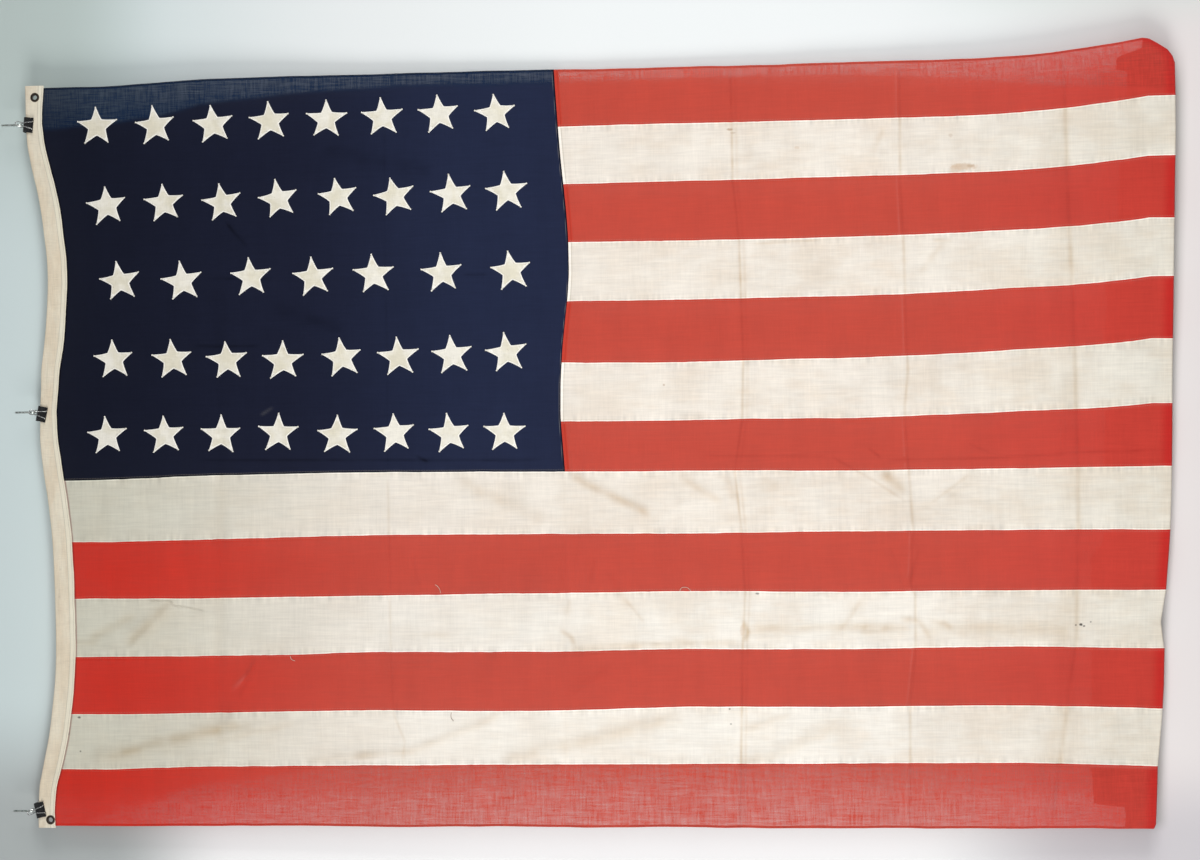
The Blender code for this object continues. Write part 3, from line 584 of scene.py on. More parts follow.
def panel(name, first, last, start_of, end_of, folded, hems, mats, slot, seed):
    """One sewn panel between two seams. A folded one runs round the fly fold and up behind."""
    width = SEAMS_MID[first] - SEAMS_MID[last]
    plan = column_plan(width, *hems)
    share, extra, back, edge = (plan[:, k][:, None] for k in range(4))
    place = first + (last - first) * share

    def u_at(z):
        return seam_u(place, z) + extra

    top_u = u_at(np.zeros(1))
    start = start_of(top_u)
    if folded:
        foot_u = u_at(np.full(1, FLARE_END))
        end = along(FOLD_LINE, foot_u) + FOLD_RADIUS
    else:
        end = end_of(top_u)
    rows = row_shares(float(np.median(start)), float(np.median(end)))[None, :]
    z = start + (end - start) * rows
    u = u_at(z)
    lift, stain = creases(u, z)
    rim = np.broadcast_to(edge, z.shape).copy()
    near_start = np.abs(start - z) if start_of is canton_end else np.full(z.shape, FAR)
    from_seam = np.minimum(rim, near_start) / SEAM_RIDGE_REACH
    ridge = SEAM_RIDGE * np.exp(-(from_seam ** 2)) * (back < 1e-6)
    if not folded:
        rim = np.minimum(rim, np.maximum(z - canton_end(u), 0.0))
        back = back + CANTON_LAP_BACK * (z < canton_end(u) - 0.0002)
    forward = lift + ridge + cockle(u, z, 3) + pucker(edge, z, seed)
    hang = cloth_y(u, z)
    if start_of is long_start:
        forward = forward * ease((start - z - INTO_HEADING - 0.001) / FLAT_AT_HEADING)
        hang = hang + heading_sag(u) * (1 - ease((start - z) / HEADING_SAG_REACH))
    xs, ys, zs = [FLAG_X + u], [hang - forward + back], [z]
    nowhere = np.full(z.shape, FAR)
    from_heading = start - z - INTO_HEADING - HEADING_WIDTH * widening(u)
    fields = {
        "rim": [rim],
        # Crease stains, with painted shade on the soft folds and painted highlights on some ridges.
        "soil": [stain],
        "start": [near_start],
        "sheer": [sheerness(u, z)],
        "fold": [z - end if folded else nowhere],
        "tucked": [from_heading if start_of is long_start else nowhere],
    }
    if folded:
        foot_y, foot_z = ys[0][:, -1:] - back[:, -1:], z[:, -1:]
        angle = np.pi * np.arange(1, FOLD_STEPS)[None, :] / FOLD_STEPS
        radius = FOLD_RADIUS - back
        xs.append(np.broadcast_to(FLAG_X + u[:, -1:], (len(plan), FOLD_STEPS - 1)))
        ys.append(foot_y + FOLD_RADIUS - radius * np.cos(angle))
        zs.append(foot_z - radius * np.sin(angle))
        torn = along(TORN_EDGE, foot_u)
        for height, length, rag_seed in RAGS:
            torn = torn + height * noise(foot_u / length, 0.5, rag_seed)
        torn = np.maximum(torn, end + LEAST_FLAP)
        count = max(int(round(float(np.max(torn - end)) / FLAP_ROW)), 4)
        up = np.arange(count + 1)[None, :] / count
        flap_z = end + (torn - end) * up
        flap_u = u_at(flap_z)
        curl = 0.0010 * noise(flap_u / 0.05, flap_z / 0.03, 53) * up
        behind = cloth_y(flap_u, flap_z) + 2 * FOLD_RADIUS - FLAP_LEAN * up
        drift = (foot_y + 2 * FOLD_RADIUS - behind[:, :1]) * (1 - up) ** 2
        xs.append(FLAG_X + flap_u)
        ys.append(behind + drift + curl - back)
        zs.append(flap_z)
        for size, fold in ((FOLD_STEPS - 1, 0.0), (count + 1, FAR)):
            behind_values = {"rim": edge, "soil": FLAP_SOIL, "start": FAR, "sheer": 0.0}
            behind_values.update({"fold": fold, "tucked": FAR})
            for key, value in behind_values.items():
                fields[key].append(np.broadcast_to(value, (len(plan), size)))
    x, y, z = (np.concatenate(parts, axis=1) for parts in (xs, ys, zs))
    verts = np.stack([x, y, z], axis=-1).reshape(-1, 3)
    values = {
        key: np.concatenate(parts, axis=1) * (1.0 if key in ("soil", "sheer") else 1000.0)
        for key, parts in fields.items()
    }
    piece = make_piece(name, verts, grid_faces(*x.shape), mats, slot, values)
    length = float(np.median(np.hypot(np.diff(y, axis=1), np.diff(z, axis=1)).sum(axis=1)))
    return piece, width + (HEM_WIDTH if any(hems) else SEAM_LAP), length


def long_start(u):
    return top_edge(u) - HEADING_WIDTH + INTO_HEADING


def canton_foot(u):
    return canton_end(u) - SEAM_LAP


# ---- Node materials ----
WARP_PITCH = 0.0016
WEFT_PITCH = 0.0017
DUCK_PITCH = 0.0013
BUNTING_STITCH = 0.0034
CANVAS_STITCH = 0.0036


class Build:
    """Short calls for making a node tree."""

    def __init__(self, name):
        self.mat = bpy.data.materials.new(name)
        self.mat.use_nodes = True
        self.tree = self.mat.node_tree
        self.tree.nodes.clear()

    def node(self, kind, inputs=(), **props):
        made = self.tree.nodes.new(kind)
        for key, value in props.items():
            setattr(made, key, value)
        for key, value in dict(inputs).items():
            self.put(made.inputs[key], value)
        return made

    def put(self, socket, value):
        if isinstance(value, bpy.types.NodeSocket):
            self.tree.links.new(value, socket)
        elif hasattr(value, "__len__") and len(value) == 3 and socket.type == "RGBA":
            socket.default_value = (*value, 1.0)
        else:
            socket.default_value = value

    def math(self, operation, a, b=0.0, c=0.0, clamp=False):
        made = self.node("ShaderNodeMath", {0: a, 1: b, 2: c}, operation=operation, use_clamp=clamp)
        return made.outputs[0]

    def times(self, a, b, clamp=False):
        return self.math("MULTIPLY", a, b, clamp=clamp)

    def plus(self, a, b):
        return self.math("ADD", a, b)

    def line(self, value, by, start):
        """The value times a number, plus a start."""
        return self.math("MULTIPLY_ADD", value, by, start)

    def around(self, value, amount):
        """A value from 0 to 1 as one that goes half the amount to either side of zero."""
        return self.line(value, amount, -amount / 2)

    def mix(self, share, a, b, blend="MIX"):
        made = self.node("ShaderNodeMix", data_type="RGBA", blend_type=blend)
        self.put(made.inputs[0], share)
        self.put(made.inputs[6], a)
        self.put(made.inputs[7], b)
        return made.outputs[2]

    def tint(self, share, tone, colour):
        """A tone multiplied by a colour, as far as the share goes."""
        return self.mix(share, tone, colour, "MULTIPLY")

    def shaded(self, tone, shade):
        """A tone multiplied by a grey."""
        grey = self.node("ShaderNodeCombineColor", {0: shade, 1: shade, 2: shade}).outputs[0]
        return self.mix(1.0, tone, grey, "MULTIPLY")

    def band(self, value, low, high, to_low=0.0, to_high=1.0):
        """A smooth step from one value to another as the input goes from low to high."""
        made = self.node(
            "ShaderNodeMapRange",
            {"Value": value, "From Min": low, "From Max": high, "To Min": to_low, "To Max": to_high},
            interpolation_type="SMOOTHSTEP",
        )
        return made.outputs[0]

    def place(self):
        return self.node("ShaderNodeTexCoord").outputs["Object"]

    def part(self, place, axis):
        return self.node("ShaderNodeSeparateXYZ", {0: place}).outputs[axis]

    def vector(self, operation, a, b=(0, 0, 0)):
        made = self.node("ShaderNodeVectorMath", {0: a, 1: b}, operation=operation)
        return made.outputs["Value" if operation == "LENGTH" else 0]

    def scaled(self, place, scale, shift=(0, 0, 0)):
        made = self.vector("MULTIPLY", place, scale)
        return self.vector("ADD", made, shift) if any(shift) else made

    def noise(self, place, scale, detail=2.0, rough=0.5, shift=(0, 0, 0)):
        """Noise whose grain has the given number of cells a metre along x, y and z."""
        inputs = {"Vector": self.scaled(place, scale, shift), "Scale": 1.0}
        inputs.update({"Detail": detail, "Roughness": rough})
        return self.node("ShaderNodeTexNoise", inputs).outputs[0]

    def grain(self, place, size, detail=2.0, rough=0.5):
        """Noise with the same number of cells a metre every way."""
        return self.noise(place, (size, size, size), detail, rough)

    def value(self, name):
        return self.node("ShaderNodeAttribute", attribute_name=name).outputs["Fac"]

    def threads(self, place, axis, pitch):
        """One set of threads as a rounded ridge profile, 0 to 1."""
        return self.line(self.waves(self.part(place, axis), pitch), 0.5, 0.5)

    def waves(self, value, pitch):
        return self.math("SINE", self.times(value, 2 * math.pi / pitch))

    def bump(self, height, distance, strength=1.0, normal=None):
        inputs = {"Height": height, "Distance": distance, "Strength": strength}
        if normal is not None:
            inputs["Normal"] = normal
        return self.node("ShaderNodeBump", inputs).outputs[0]

    def finish(self, colour, roughness, normal=None, alpha=None, **fixed):
        inputs = {"Base Color": colour, "Roughness": roughness}
        if normal is not None:
            inputs["Normal"] = normal
        if alpha is not None:
            inputs["Alpha"] = alpha
        inputs.update({key.replace("_", " "): value for key, value in fixed.items()})
        return self.out(self.node("ShaderNodeBsdfPrincipled", inputs).outputs[0])

    def out(self, shader):
        self.node("ShaderNodeOutputMaterial", {0: shader})
        return self.mat


def marks_on(b, place, colour, tints):
    """Lays the small marks over a colour."""
    for u, z, half_u, half_z, strength, kind in MARKS:
        off = b.vector("ADD", place, (-(FLAG_X + u / 1000), 0, -z / 1000))
        off = b.vector("MULTIPLY", off, (1000.0 / half_u, 0, 1000.0 / half_z))
        far = b.vector("LENGTH", off)
        ragged = b.line(b.noise(place, (240, 60, 240), 2.0), 0.9, -0.45)
        inside = b.band(b.plus(far, ragged), 1.25, 0.55, 0.0, strength)
        colour = b.mix(inside, colour, tints[kind])
    return colour


def bunting(name, middle, ends, stain, openness, doubled_and_painted_edge_tint, seam_width, fold_shade_tint, slubs,
            mottle=0.0, marked=False, gloss=0.12, lit_tint=None, turns=(-0.85, -0.02, -1.70, -2.32),
            stain_and_shade_strength=1.0, draw=0.30):
    """Plain woven wool: uneven threads both ways, faded in mid fly, with stains and painted shade
    along its creases.

    The two ends are the tones near the heading and near the fly, which the middle tone turns to
    between the given heights. The openness is that of the cloth in general and that of the parts
    with a lit wall behind.
    """
    b = Build(name)
    place = b.place()
    down = b.part(place, 2)
    warp_fine = b.noise(place, (900, 30, 22), 1.0)
    weft_fine = b.noise(place, (22, 30, 900), 1.0)
    warp = b.noise(place, (270, 9, 17), 2.0)
    weft = b.noise(place, (14, 9, 230), 2.0)
    mesh = b.noise(place, (420, 20, 30), 1.0, 0.5, (5, 0, 1))
    mesh = b.plus(mesh, b.noise(place, (30, 20, 420), 1.0))
    patch = b.noise(place, (5.5, 2, 4.5), 4.0, 0.6)
    worn = b.noise(place, (26, 10, 20), 3.0, 0.6, (7, 0, 3))
    slub = b.plus(b.times(warp, 1.9), b.times(weft, 0.7))
    slub = b.math("SUBTRACT", b.plus(slub, b.plus(warp_fine, weft_fine)), 2.3)
    rim, soil = b.value("rim"), b.value("soil")
    start, sheer = b.value("start"), b.value("sheer")

    tone = b.mix(b.band(down, turns[0], turns[1]), middle, ends[0])
    tone = b.mix(b.band(down, turns[2], turns[3]), tone, ends[1])
    # Painted light: the tone turns paler and bluer where the lit wall behind shows through.
    if lit_tint:
        tone = b.mix(sheer, tone, lit_tint)
    shade = b.line(slub, slubs, 1.0)
    shade = b.plus(shade, b.around(worn, 0.08))
    shade = b.plus(shade, b.around(patch, 0.12))
    # Painted light and shade: the faint crumple across the fly, and the short drawn folds beside
    # a seam.
    crumple = b.noise(place, (7, 3, 26), 3.0, 0.55, (2, 5, 1))
    shade = b.plus(shade, b.around(crumple, 0.16))
    drawn = b.math("SUBTRACT", b.noise(place, (9, 4, 105), 2.0, 0.6, (0, 2, 4)), 0.5)
    shade = b.plus(shade, b.times(b.times(drawn, draw), b.band(rim, 20.0, 3.0)))
    tone = b.shaded(tone, shade)
    if mottle:
        cloud = b.noise(place, (11, 4, 9), 4.0, 0.55, (3, 1, 9))
        crush = b.noise(place, (60, 8, 22), 3.0, 0.6, (1, 4, 2))
        amount = b.band(down, -0.80, -1.50, 0.45, 1.0)
        yellowed = b.band(b.line(crush, 0.5, cloud), 0.62, 0.98, 0.0, mottle)
        cleaner = b.band(b.line(crush, 0.3, cloud), 0.66, 0.40, 0.0, mottle)
        beige = b.tint(1.0, tone, (0.93, 0.88, 0.83))
        tone = b.mix(b.times(yellowed, amount), tone, beige)
        # Painted light: the whites lighter and cooler in a patch towards -X, halfway down the fly.
        painted_light_patch = b.times(b.band(b.part(place, 0), -0.30, -0.46), b.band(down, -0.55, -0.85))
        painted_light_patch = b.times(painted_light_patch, b.band(down, -2.05, -1.65))
        tone = b.tint(painted_light_patch, tone, (1.05, 1.08, 1.10))
        tone = b.tint(b.times(cleaner, amount), tone, (1.06, 1.07, 1.08))
    # Crease stains with painted shade on the soft folds; below zero, painted highlights along ridges
    # and one pale smear.
    dirt_and_shade = b.times(b.math("MAXIMUM", soil, 0.0), stain_and_shade_strength)
    tone = b.tint(b.math("MINIMUM", dirt_and_shade, 1.0), tone, stain)
    light = b.times(b.math("MINIMUM", soil, 0.0), -1.0)
    tone = b.mix(light, tone, b.mix(0.5, tone, (1.0, 0.97, 0.9)))
    if marked:
        tone = marks_on(b, place, tone, MARK_TINTS)

    # Painted shade along the fly fold: deeper colour close to the fold's edge and on its turn.
    tone = b.tint(b.band(b.value("fold"), 26.0, 2.0), tone, fold_shade_tint)
    # Painted shade: a dark line just below the heading's edge, where the bunting goes under it.
    tone = b.tint(b.band(b.value("tucked"), 4.2, 1.6, 0.0, 0.75), tone, (0.5, 0.3, 0.3))

    # The doubled cloth along a seam, wider where the strip starts beside the canton, and its
    # stitching. The doubled tint is the deeper tone of doubled cloth on the red, a painted bright
    # edge on the white and a painted dark edge line on the blue.
    at_start = b.band(start, seam_width + 0.5, seam_width - 0.3)
    doubled = b.math("MAXIMUM", b.band(rim, 3.0, 1.6), at_start)
    tone = b.tint(doubled, tone, doubled_and_painted_edge_tint)
    dash = b.band(b.waves(down, BUNTING_STITCH), -0.5, 0.1)
    row = b.times(b.band(rim, 2.6, 3.1), b.band(rim, 4.3, 3.7))
    sewn = b.times(dash, row)
    start_row = b.times(b.band(start, 4.9, 5.5), b.band(start, 7.2, 6.5))
    tone = b.tint(b.times(row, 0.16), tone, stain)
    tone = b.tint(b.times(start_row, 0.55), tone, (0.68, 0.68, 0.64))
    tone = b.mix(b.times(sewn, 0.15), tone, (0.72, 0.66, 0.55))

    # Height of the weave, and how open it is.
    across, along_fly = b.threads(place, 0, WARP_PITCH), b.threads(place, 2, WEFT_PITCH)
    weave = b.math("MAXIMUM", across, along_fly)
    height = b.line(b.plus(warp_fine, weft_fine), 0.8, b.times(weave, 0.35))
    height = b.plus(height, b.times(b.plus(warp, weft), 0.9))
    normal = b.bump(height, 0.00022, 0.9)
    gap = b.line(slub, -0.5, 1.0)
    gap = b.plus(gap, b.times(b.math("SUBTRACT", mesh, 1.0), b.band(sheer, 0.0, 1.0, 0.6, 2.2)))
    gap = b.times(gap, b.line(weave, -0.4, 1.33))
    gap = b.times(gap, b.band(sheer, 0.0, 1.0, openness[0], openness[1]))
    shut = b.times(b.band(rim, 1.4, 3.2), b.band(start, seam_width - 0.6, seam_width + 0.8))
    alpha = b.math("SUBTRACT", 1.0, b.times(gap, shut), clamp=True)
    return b.finish(tone, 0.93, normal, alpha, Sheen_Weight=gloss, Sheen_Roughness=0.55,
                    Specular_IOR_Level=gloss)


def cotton(name, colour, pale, stain):
    """Closely woven white cotton, for the stars."""
    b = Build(name)
    place = b.place()
    fine = b.plus(b.noise(place, (900, 30, 60), 1.0), b.noise(place, (60, 30, 900), 1.0))
    patch = b.noise(place, (22, 8, 22), 3.0, 0.6)
    crumple = b.noise(place, (85, 20, 60), 3.0, 0.6)
    tone = b.mix(b.band(patch, 0.36, 0.64), colour, pale)
    shade = b.line(fine, 0.16, 0.84)
    shade = b.plus(shade, b.around(crumple, 0.22))
    tone = b.shaded(tone, shade)
    specks = b.band(b.noise(place, (210, 40, 210), 2.0), 0.70, 0.76, 0.0, 0.45)
    tone = b.mix(specks, tone, stain)
    rim = b.value("rim")
    tone = b.mix(b.band(rim, 3.4, 1.8, 0.0, 0.85), tone, (0.93, 0.90, 0.84))
    height = b.line(crumple, 2.4, fine)
    normal = b.bump(height, 0.0004, 0.8)
    return b.finish(tone, 0.88, normal, Sheen_Weight=0.08, Specular_IOR_Level=0.25)


def canvas(name):
    """Heavy cotton duck of the heading: coarse weave, yellowed, rubbed and dirty along its folds."""
    b = Build(name)
    place = b.place()
    warp = b.noise(place, (34, 30, 1200), 1.0)
    weft = b.noise(place, (1200, 30, 60), 1.0)
    patch = b.noise(place, (9, 4, 26), 4.0, 0.65)
    blotch = b.noise(place, (38, 12, 60), 3.0, 0.6)
    tone = b.mix(b.band(patch, 0.34, 0.66), (0.79, 0.68, 0.52), (0.85, 0.775, 0.625))
    shade = b.line(b.plus(warp, weft), 0.22, 0.78)
    shade = b.plus(shade, b.around(blotch, 0.16))
    tone = b.shaded(tone, shade)
    rim, soil = b.value("rim"), b.value("soil")
    tone = b.mix(b.times(soil, 1.0, clamp=True), tone, (0.40, 0.30, 0.20))
    # Two rows of stitching near the sewn edge, which is the lighter, cleaner part of the strip.
    tone = b.mix(b.band(rim, 12.5, 11.0, 0.0, 0.55), tone, (0.93, 0.89, 0.73))
    dash = b.band(b.waves(b.part(place, 0), CANVAS_STITCH), -0.4, 0.2)
    first = b.times(b.band(rim, 2.4, 2.9), b.band(rim, 4.1, 3.6))
    second = b.times(b.band(rim, 10.2, 10.8), b.band(rim, 12.2, 11.6))
    rows = b.math("MAXIMUM", first, second)
    tone = b.mix(b.times(rows, 0.40), tone, (0.42, 0.34, 0.24))
    tone = b.mix(b.times(b.times(rows, dash), 0.5), tone, (0.80, 0.76, 0.66))
    weave = b.times(b.threads(place, 0, DUCK_PITCH), b.threads(place, 2, DUCK_PITCH))
    height = b.plus(b.times(weave, 0.8), b.plus(warp, weft))
    height = b.math("SUBTRACT", height, b.times(rows, 1.2))
    normal = b.bump(height, 0.0004, 0.9)
    return b.finish(tone, 0.9, normal, Sheen_Weight=0.08, Specular_IOR_Level=0.25)


def thread_mat(name, colour):
    b = Build(name)
    place = b.place()
    tone = b.mix(b.grain(place, 900, 1.0), colour, [c * 0.72 for c in colour])
    twist = b.grain(place, 2600, 1.0)
    return b.finish(tone, 0.8, b.bump(twist, 0.0001, 0.6), Specular_IOR_Level=0.3)


def enamel(name):
    """Glossy black paint over sprung steel, chipped at random and dusty."""
    b = Build(name)
    place = b.place()
    chips = b.band(b.grain(place, 700, 3.0, 0.7), 0.69, 0.72)
    dust = b.band(b.grain(place, 160, 3.0), 0.45, 0.75, 0.0, 0.025)
    tone = b.mix(dust, (0.005, 0.005, 0.0055), (0.35, 0.34, 0.32))
    tone = b.mix(b.times(chips, 0.7), tone, (0.26, 0.26, 0.25))
    rough = b.line(b.grain(place, 420, 2.0), 0.18, 0.20)
    normal = b.bump(b.grain(place, 900, 2.0), 0.00006, 0.6)
    return b.finish(tone, rough, normal, Coat_Weight=0.35, Coat_Roughness=0.15)


def steel(name, bright, dull, rough_low, rough_high):
    """Plated wire or rod with fine draw marks and a little tarnish."""
    b = Build(name)
    place = b.place()
    tarnish = b.band(b.grain(place, 120, 4.0, 0.65), 0.40, 0.70)
    tone = b.mix(tarnish, bright, dull)
    rough = b.band(b.grain(place, 300, 3.0), 0.3, 0.7, rough_low, rough_high)
    normal = b.bump(b.noise(place, (2200, 400, 2200), 2.0), 0.00003, 0.5)
    return b.finish(tone, rough, normal, Metallic=1.0)


def brass(name):
    """Old brass gone nearly black, rubbed back to metal on its high edge."""
    b = Build(name)
    place = b.place()
    grime = b.grain(place, 420, 4.0, 0.65)
    tone = b.mix(b.band(grime, 0.46, 0.66), (0.010, 0.007, 0.005), (0.045, 0.028, 0.018))
    point = b.node("ShaderNodeNewGeometry").outputs["Pointiness"]
    tone = b.mix(b.band(point, 0.55, 0.64, 0.0, 0.35), tone, (0.30, 0.22, 0.12))
    rough = b.band(grime, 0.35, 0.7, 0.62, 0.36)
    return b.finish(tone, rough, b.bump(grime, 0.00012, 0.8), Metallic=0.35)


def backdrop(name, colour_nodes):
    """A stage surface that isn't seen from its back, and lets the light behind it through."""
    b = Build(name)
    inputs = {"Base Color": colour_nodes(b), "Roughness": 0.95, "Specular IOR Level": 0.1}
    shader = b.node("ShaderNodeBsdfPrincipled", inputs).outputs[0]
    clear = b.node("ShaderNodeBsdfTransparent").outputs[0]
    ray = b.node("ShaderNodeLightPath")
    unseen = b.math("MAXIMUM", ray.outputs["Is Shadow Ray"], ray.outputs["Is Diffuse Ray"])
    unseen = b.math("MAXIMUM", unseen, b.node("ShaderNodeNewGeometry").outputs["Backfacing"])
    return b.out(b.node("ShaderNodeMixShader", {0: unseen, 1: shader, 2: clear}).outputs[0])


RED = bunting(
    "red_wool", (0.513, 0.058, 0.036), ((0.602, 0.019, 0.0078), (0.560, 0.046, 0.032)),
    (0.62, 0.42, 0.40), (0.07, 0.17), (0.97, 0.74, 0.70), 9.0, (0.97, 0.45, 0.50), 0.045,
    stain_and_shade_strength=0.65, draw=0.20,
)
WHITE = bunting(
    "white_wool", (0.800, 0.735, 0.655), ((0.625, 0.607, 0.505), (0.780, 0.735, 0.645)),
    (0.72, 0.60, 0.46), (0.07, 0.17), (1.13, 1.15, 1.18), 4.6, (1.0, 0.985, 0.97), 0.075,
    mottle=0.75, marked=True, stain_and_shade_strength=1.25, draw=0.50,
)
BLUE = bunting(
    "blue_wool", (0.0103, 0.0126, 0.0290), ((0.0074, 0.0090, 0.0195), (0.0156, 0.0212, 0.0510)),
    (0.4, 0.4, 0.4), (0.012, 0.085), (0.35, 0.35, 0.32), 4.6, (1.0, 1.0, 1.0), 0.10, gloss=0.02,
    lit_tint=(0.004, 0.016, 0.048), turns=(-0.55, -0.05, -0.50, -0.95),
)
STAR = cotton("star_cotton", (0.70, 0.655, 0.53), (0.80, 0.765, 0.68), (0.42, 0.34, 0.24))
CANVAS = canvas("heading_duck")
THREAD = thread_mat("sewing_thread", (0.74, 0.70, 0.60))
DARK_THREAD = thread_mat("brown_thread", (0.30, 0.20, 0.13))
ENAMEL = enamel("clip_black")
WIRE = steel("bright_wire", (0.86, 0.86, 0.84), (0.62, 0.62, 0.60), 0.12, 0.30)
ROD = steel("hook_rod", (0.66, 0.70, 0.67), (0.36, 0.40, 0.37), 0.24, 0.44)
BRASS = brass("grommet_patina")


# ---- The heading ----
HEADING_STEPS = 18
HEADING_COLUMNS = 520
HEADING_SPOTS = ((-0.234, -0.058), (-0.290, -0.056))
HEADING_LINES = (-0.345, -0.424, 0.31, 0.12)
GROMMET_CUT = 0.0071
CLIP_HOLDS = 0.014
GROMMET_HOLDS = 0.011
STITCH_ROWS = (0.0033, 0.0112)
STITCH_DENT = 0.0016
SPOT = 0.0022


def heading():
    """A strip of canvas folded over the flag's edge: up the front, over the top and down the back."""
    half = HEADING_THICK / 2
    profile = [(HEADING_WIDTH - 0.0006, -half + 0.0010, 0.0), (HEADING_WIDTH, -half + 0.0004, 0.0)]
    for step in range(HEADING_STEPS + 1):
        drop = (HEADING_WIDTH - 0.0003) + (half - HEADING_WIDTH + 0.0003) * step / HEADING_STEPS
        profile.append((drop, -half, HEADING_WIDTH - drop))
    for degrees in range(20, 180, 20):
        angle = math.radians(degrees)
        profile.append((half - half * math.sin(angle), -half * math.cos(angle), HEADING_WIDTH))
    for drop, depth, rim in reversed(profile[: HEADING_STEPS + 3]):
        profile.append((drop, -depth, rim))
    drop, depth, rim = (np.array(part)[None, :] for part in zip(*profile))
    ends = (SEAMS_MID[0] + HEADING_OVERRUN, SEAMS_MID[-1] - HEADING_OVERRUN)
    u = np.linspace(*ends, HEADING_COLUMNS)[:, None] + 0 * drop
    ragged = 0.0006 * noise(u / 0.05, 0.3, 61)
    z = top_edge(u) - drop * (1 + widening(u)) + ragged * (drop > 0.03)
    side = np.where(depth < 0, 1.0, -1.0)
    free = np.ones(u.shape)
    for clip in CLIP_U:
        free = np.minimum(free, ease((np.abs(u - clip) - CLIP_HOLDS) / 0.03))
    for x, level in GROMMETS:
        free = np.minimum(free, ease((np.hypot(u - (x - FLAG_X), z - level) - GROMMET_HOLDS) / 0.01))
    stitched = sum(np.exp(-(((rim - row) / STITCH_DENT) ** 2)) for row in STITCH_ROWS)
    lift = 0.00042 * noise(u / 0.008, rim / 0.006, 62) * np.exp(-rim / 0.014)
    lift += 0.0007 * noise(u / 0.045, rim / 0.020, 63) + 0.0004 * noise(u / 0.10, rim / 0.006, 64)
    lift -= 0.00035 * stitched
    lift = np.maximum(lift, -0.0005)
    y = cloth_y(u, z) + depth - side * lift * free + heading_sag(u)
    soil = 0.10 * np.clip(noise(u / 0.06, rim / 0.01, 66), 0, 1)
    soil = soil + 0.22 * np.exp(-(HEADING_WIDTH - rim) / SPOT)
    for spot_u, spot_z in HEADING_SPOTS:
        soil = soil + 0.30 * np.exp(-((((u - spot_u) / SPOT) ** 2) + ((z - spot_z) / SPOT) ** 2))
    for at in HEADING_LINES:
        soil = soil + 0.10 * np.exp(-(((u - at + 0.2 * (rim - 0.02)) / 0.002) ** 2))
    verts = np.stack([FLAG_X + u, y, z], axis=-1).reshape(-1, 3)
    faces = grid_faces(*u.shape)
    middle = verts[faces].mean(axis=1)
    keep = np.ones(len(faces), bool)
    for x, level in GROMMETS:
        keep &= np.hypot(middle[:, 0] - x, middle[:, 2] - level) > GROMMET_CUT
    values = {"rim": rim * 1000.0 + 0 * u, "soil": soil + 0 * u}
    piece = make_piece("heading_strip", verts, faces[keep], [CANVAS], "heading_canvas", values)
    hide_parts("heading")
    return piece, abs(ends[0] - ends[1])


# ---- The stars ----
STITCH = 0.0036
STAR_FILL = np.arange(-0.045, 0.0451, 0.0058)
# A tip and an inner corner: share of the radius, then how uneven its angle and its reach are.
STAR_CORNERS = ((1.0, 2.2, 0.040), (STAR_INNER + 0.015, 1.5, 0.05))
# Points along one side, and how hollow it is.
STAR_SIDE = (0.025, 0.20, 0.40, 0.60, 0.80, 0.975)
STAR_HOLLOW = 0.0011
# The turned edge of a star, as (inset, lift) from its outline inwards.
STAR_RINGS = ((0.0, 0.0002), (0.0007, 0.0009), (0.0020, 0.0010))


def star_places():
    for row, (u, z, steps) in enumerate(STAR_ROWS):
        for column, step in enumerate((0.0,) + steps):
            z -= step
            sway = STAR_SWAY * math.sin(3.7 * column + 1.9 * row)
            over, up = STAR_SHIFTS[row][column]
            yield u + sway + over / 1000, z + up / 1000, math.radians(STAR_TURNS[row][column])


def star_line(turn, seed, inset):
    """Outline of one star about its centre: five uneven points with slightly hollow sides."""
    def wobble(k, salt):
        return float(hashed(np.array(k), np.array(salt), seed))

    corners = []
    for step in range(10):
        share, turn_error, reach_error = STAR_CORNERS[step % 2]
        angle = turn + math.pi * step / 5 + math.radians(turn_error) * wobble(step, 1)
        reach = STAR_RADIUS * share * (1 + reach_error * wobble(step, 2))
        corners.append((reach * math.cos(angle) * 0.985, reach * math.sin(angle) * 1.035))
    points = []
    for step in range(10):
        (u0, z0), (u1, z1) = corners[step], corners[(step + 1) % 10]
        for part in STAR_SIDE:
            hollow = STAR_HOLLOW * math.sin(math.pi * part)
            u, z = u0 + (u1 - u0) * part, z0 + (z1 - z0) * part
            scale = 1 - hollow / math.hypot(u, z)
            points.append((u * scale, z * scale))
    if not inset:
        return points
    moved = []
    for k, (u, z) in enumerate(points):
        (ua, za), (ub, zb) = points[k - 1], points[(k + 1) % len(points)]
        du, dz = ub - ua, zb - za
        length = math.hypot(du, dz)
        moved.append((u - inset * dz / length, z + inset * du / length))
    return moved


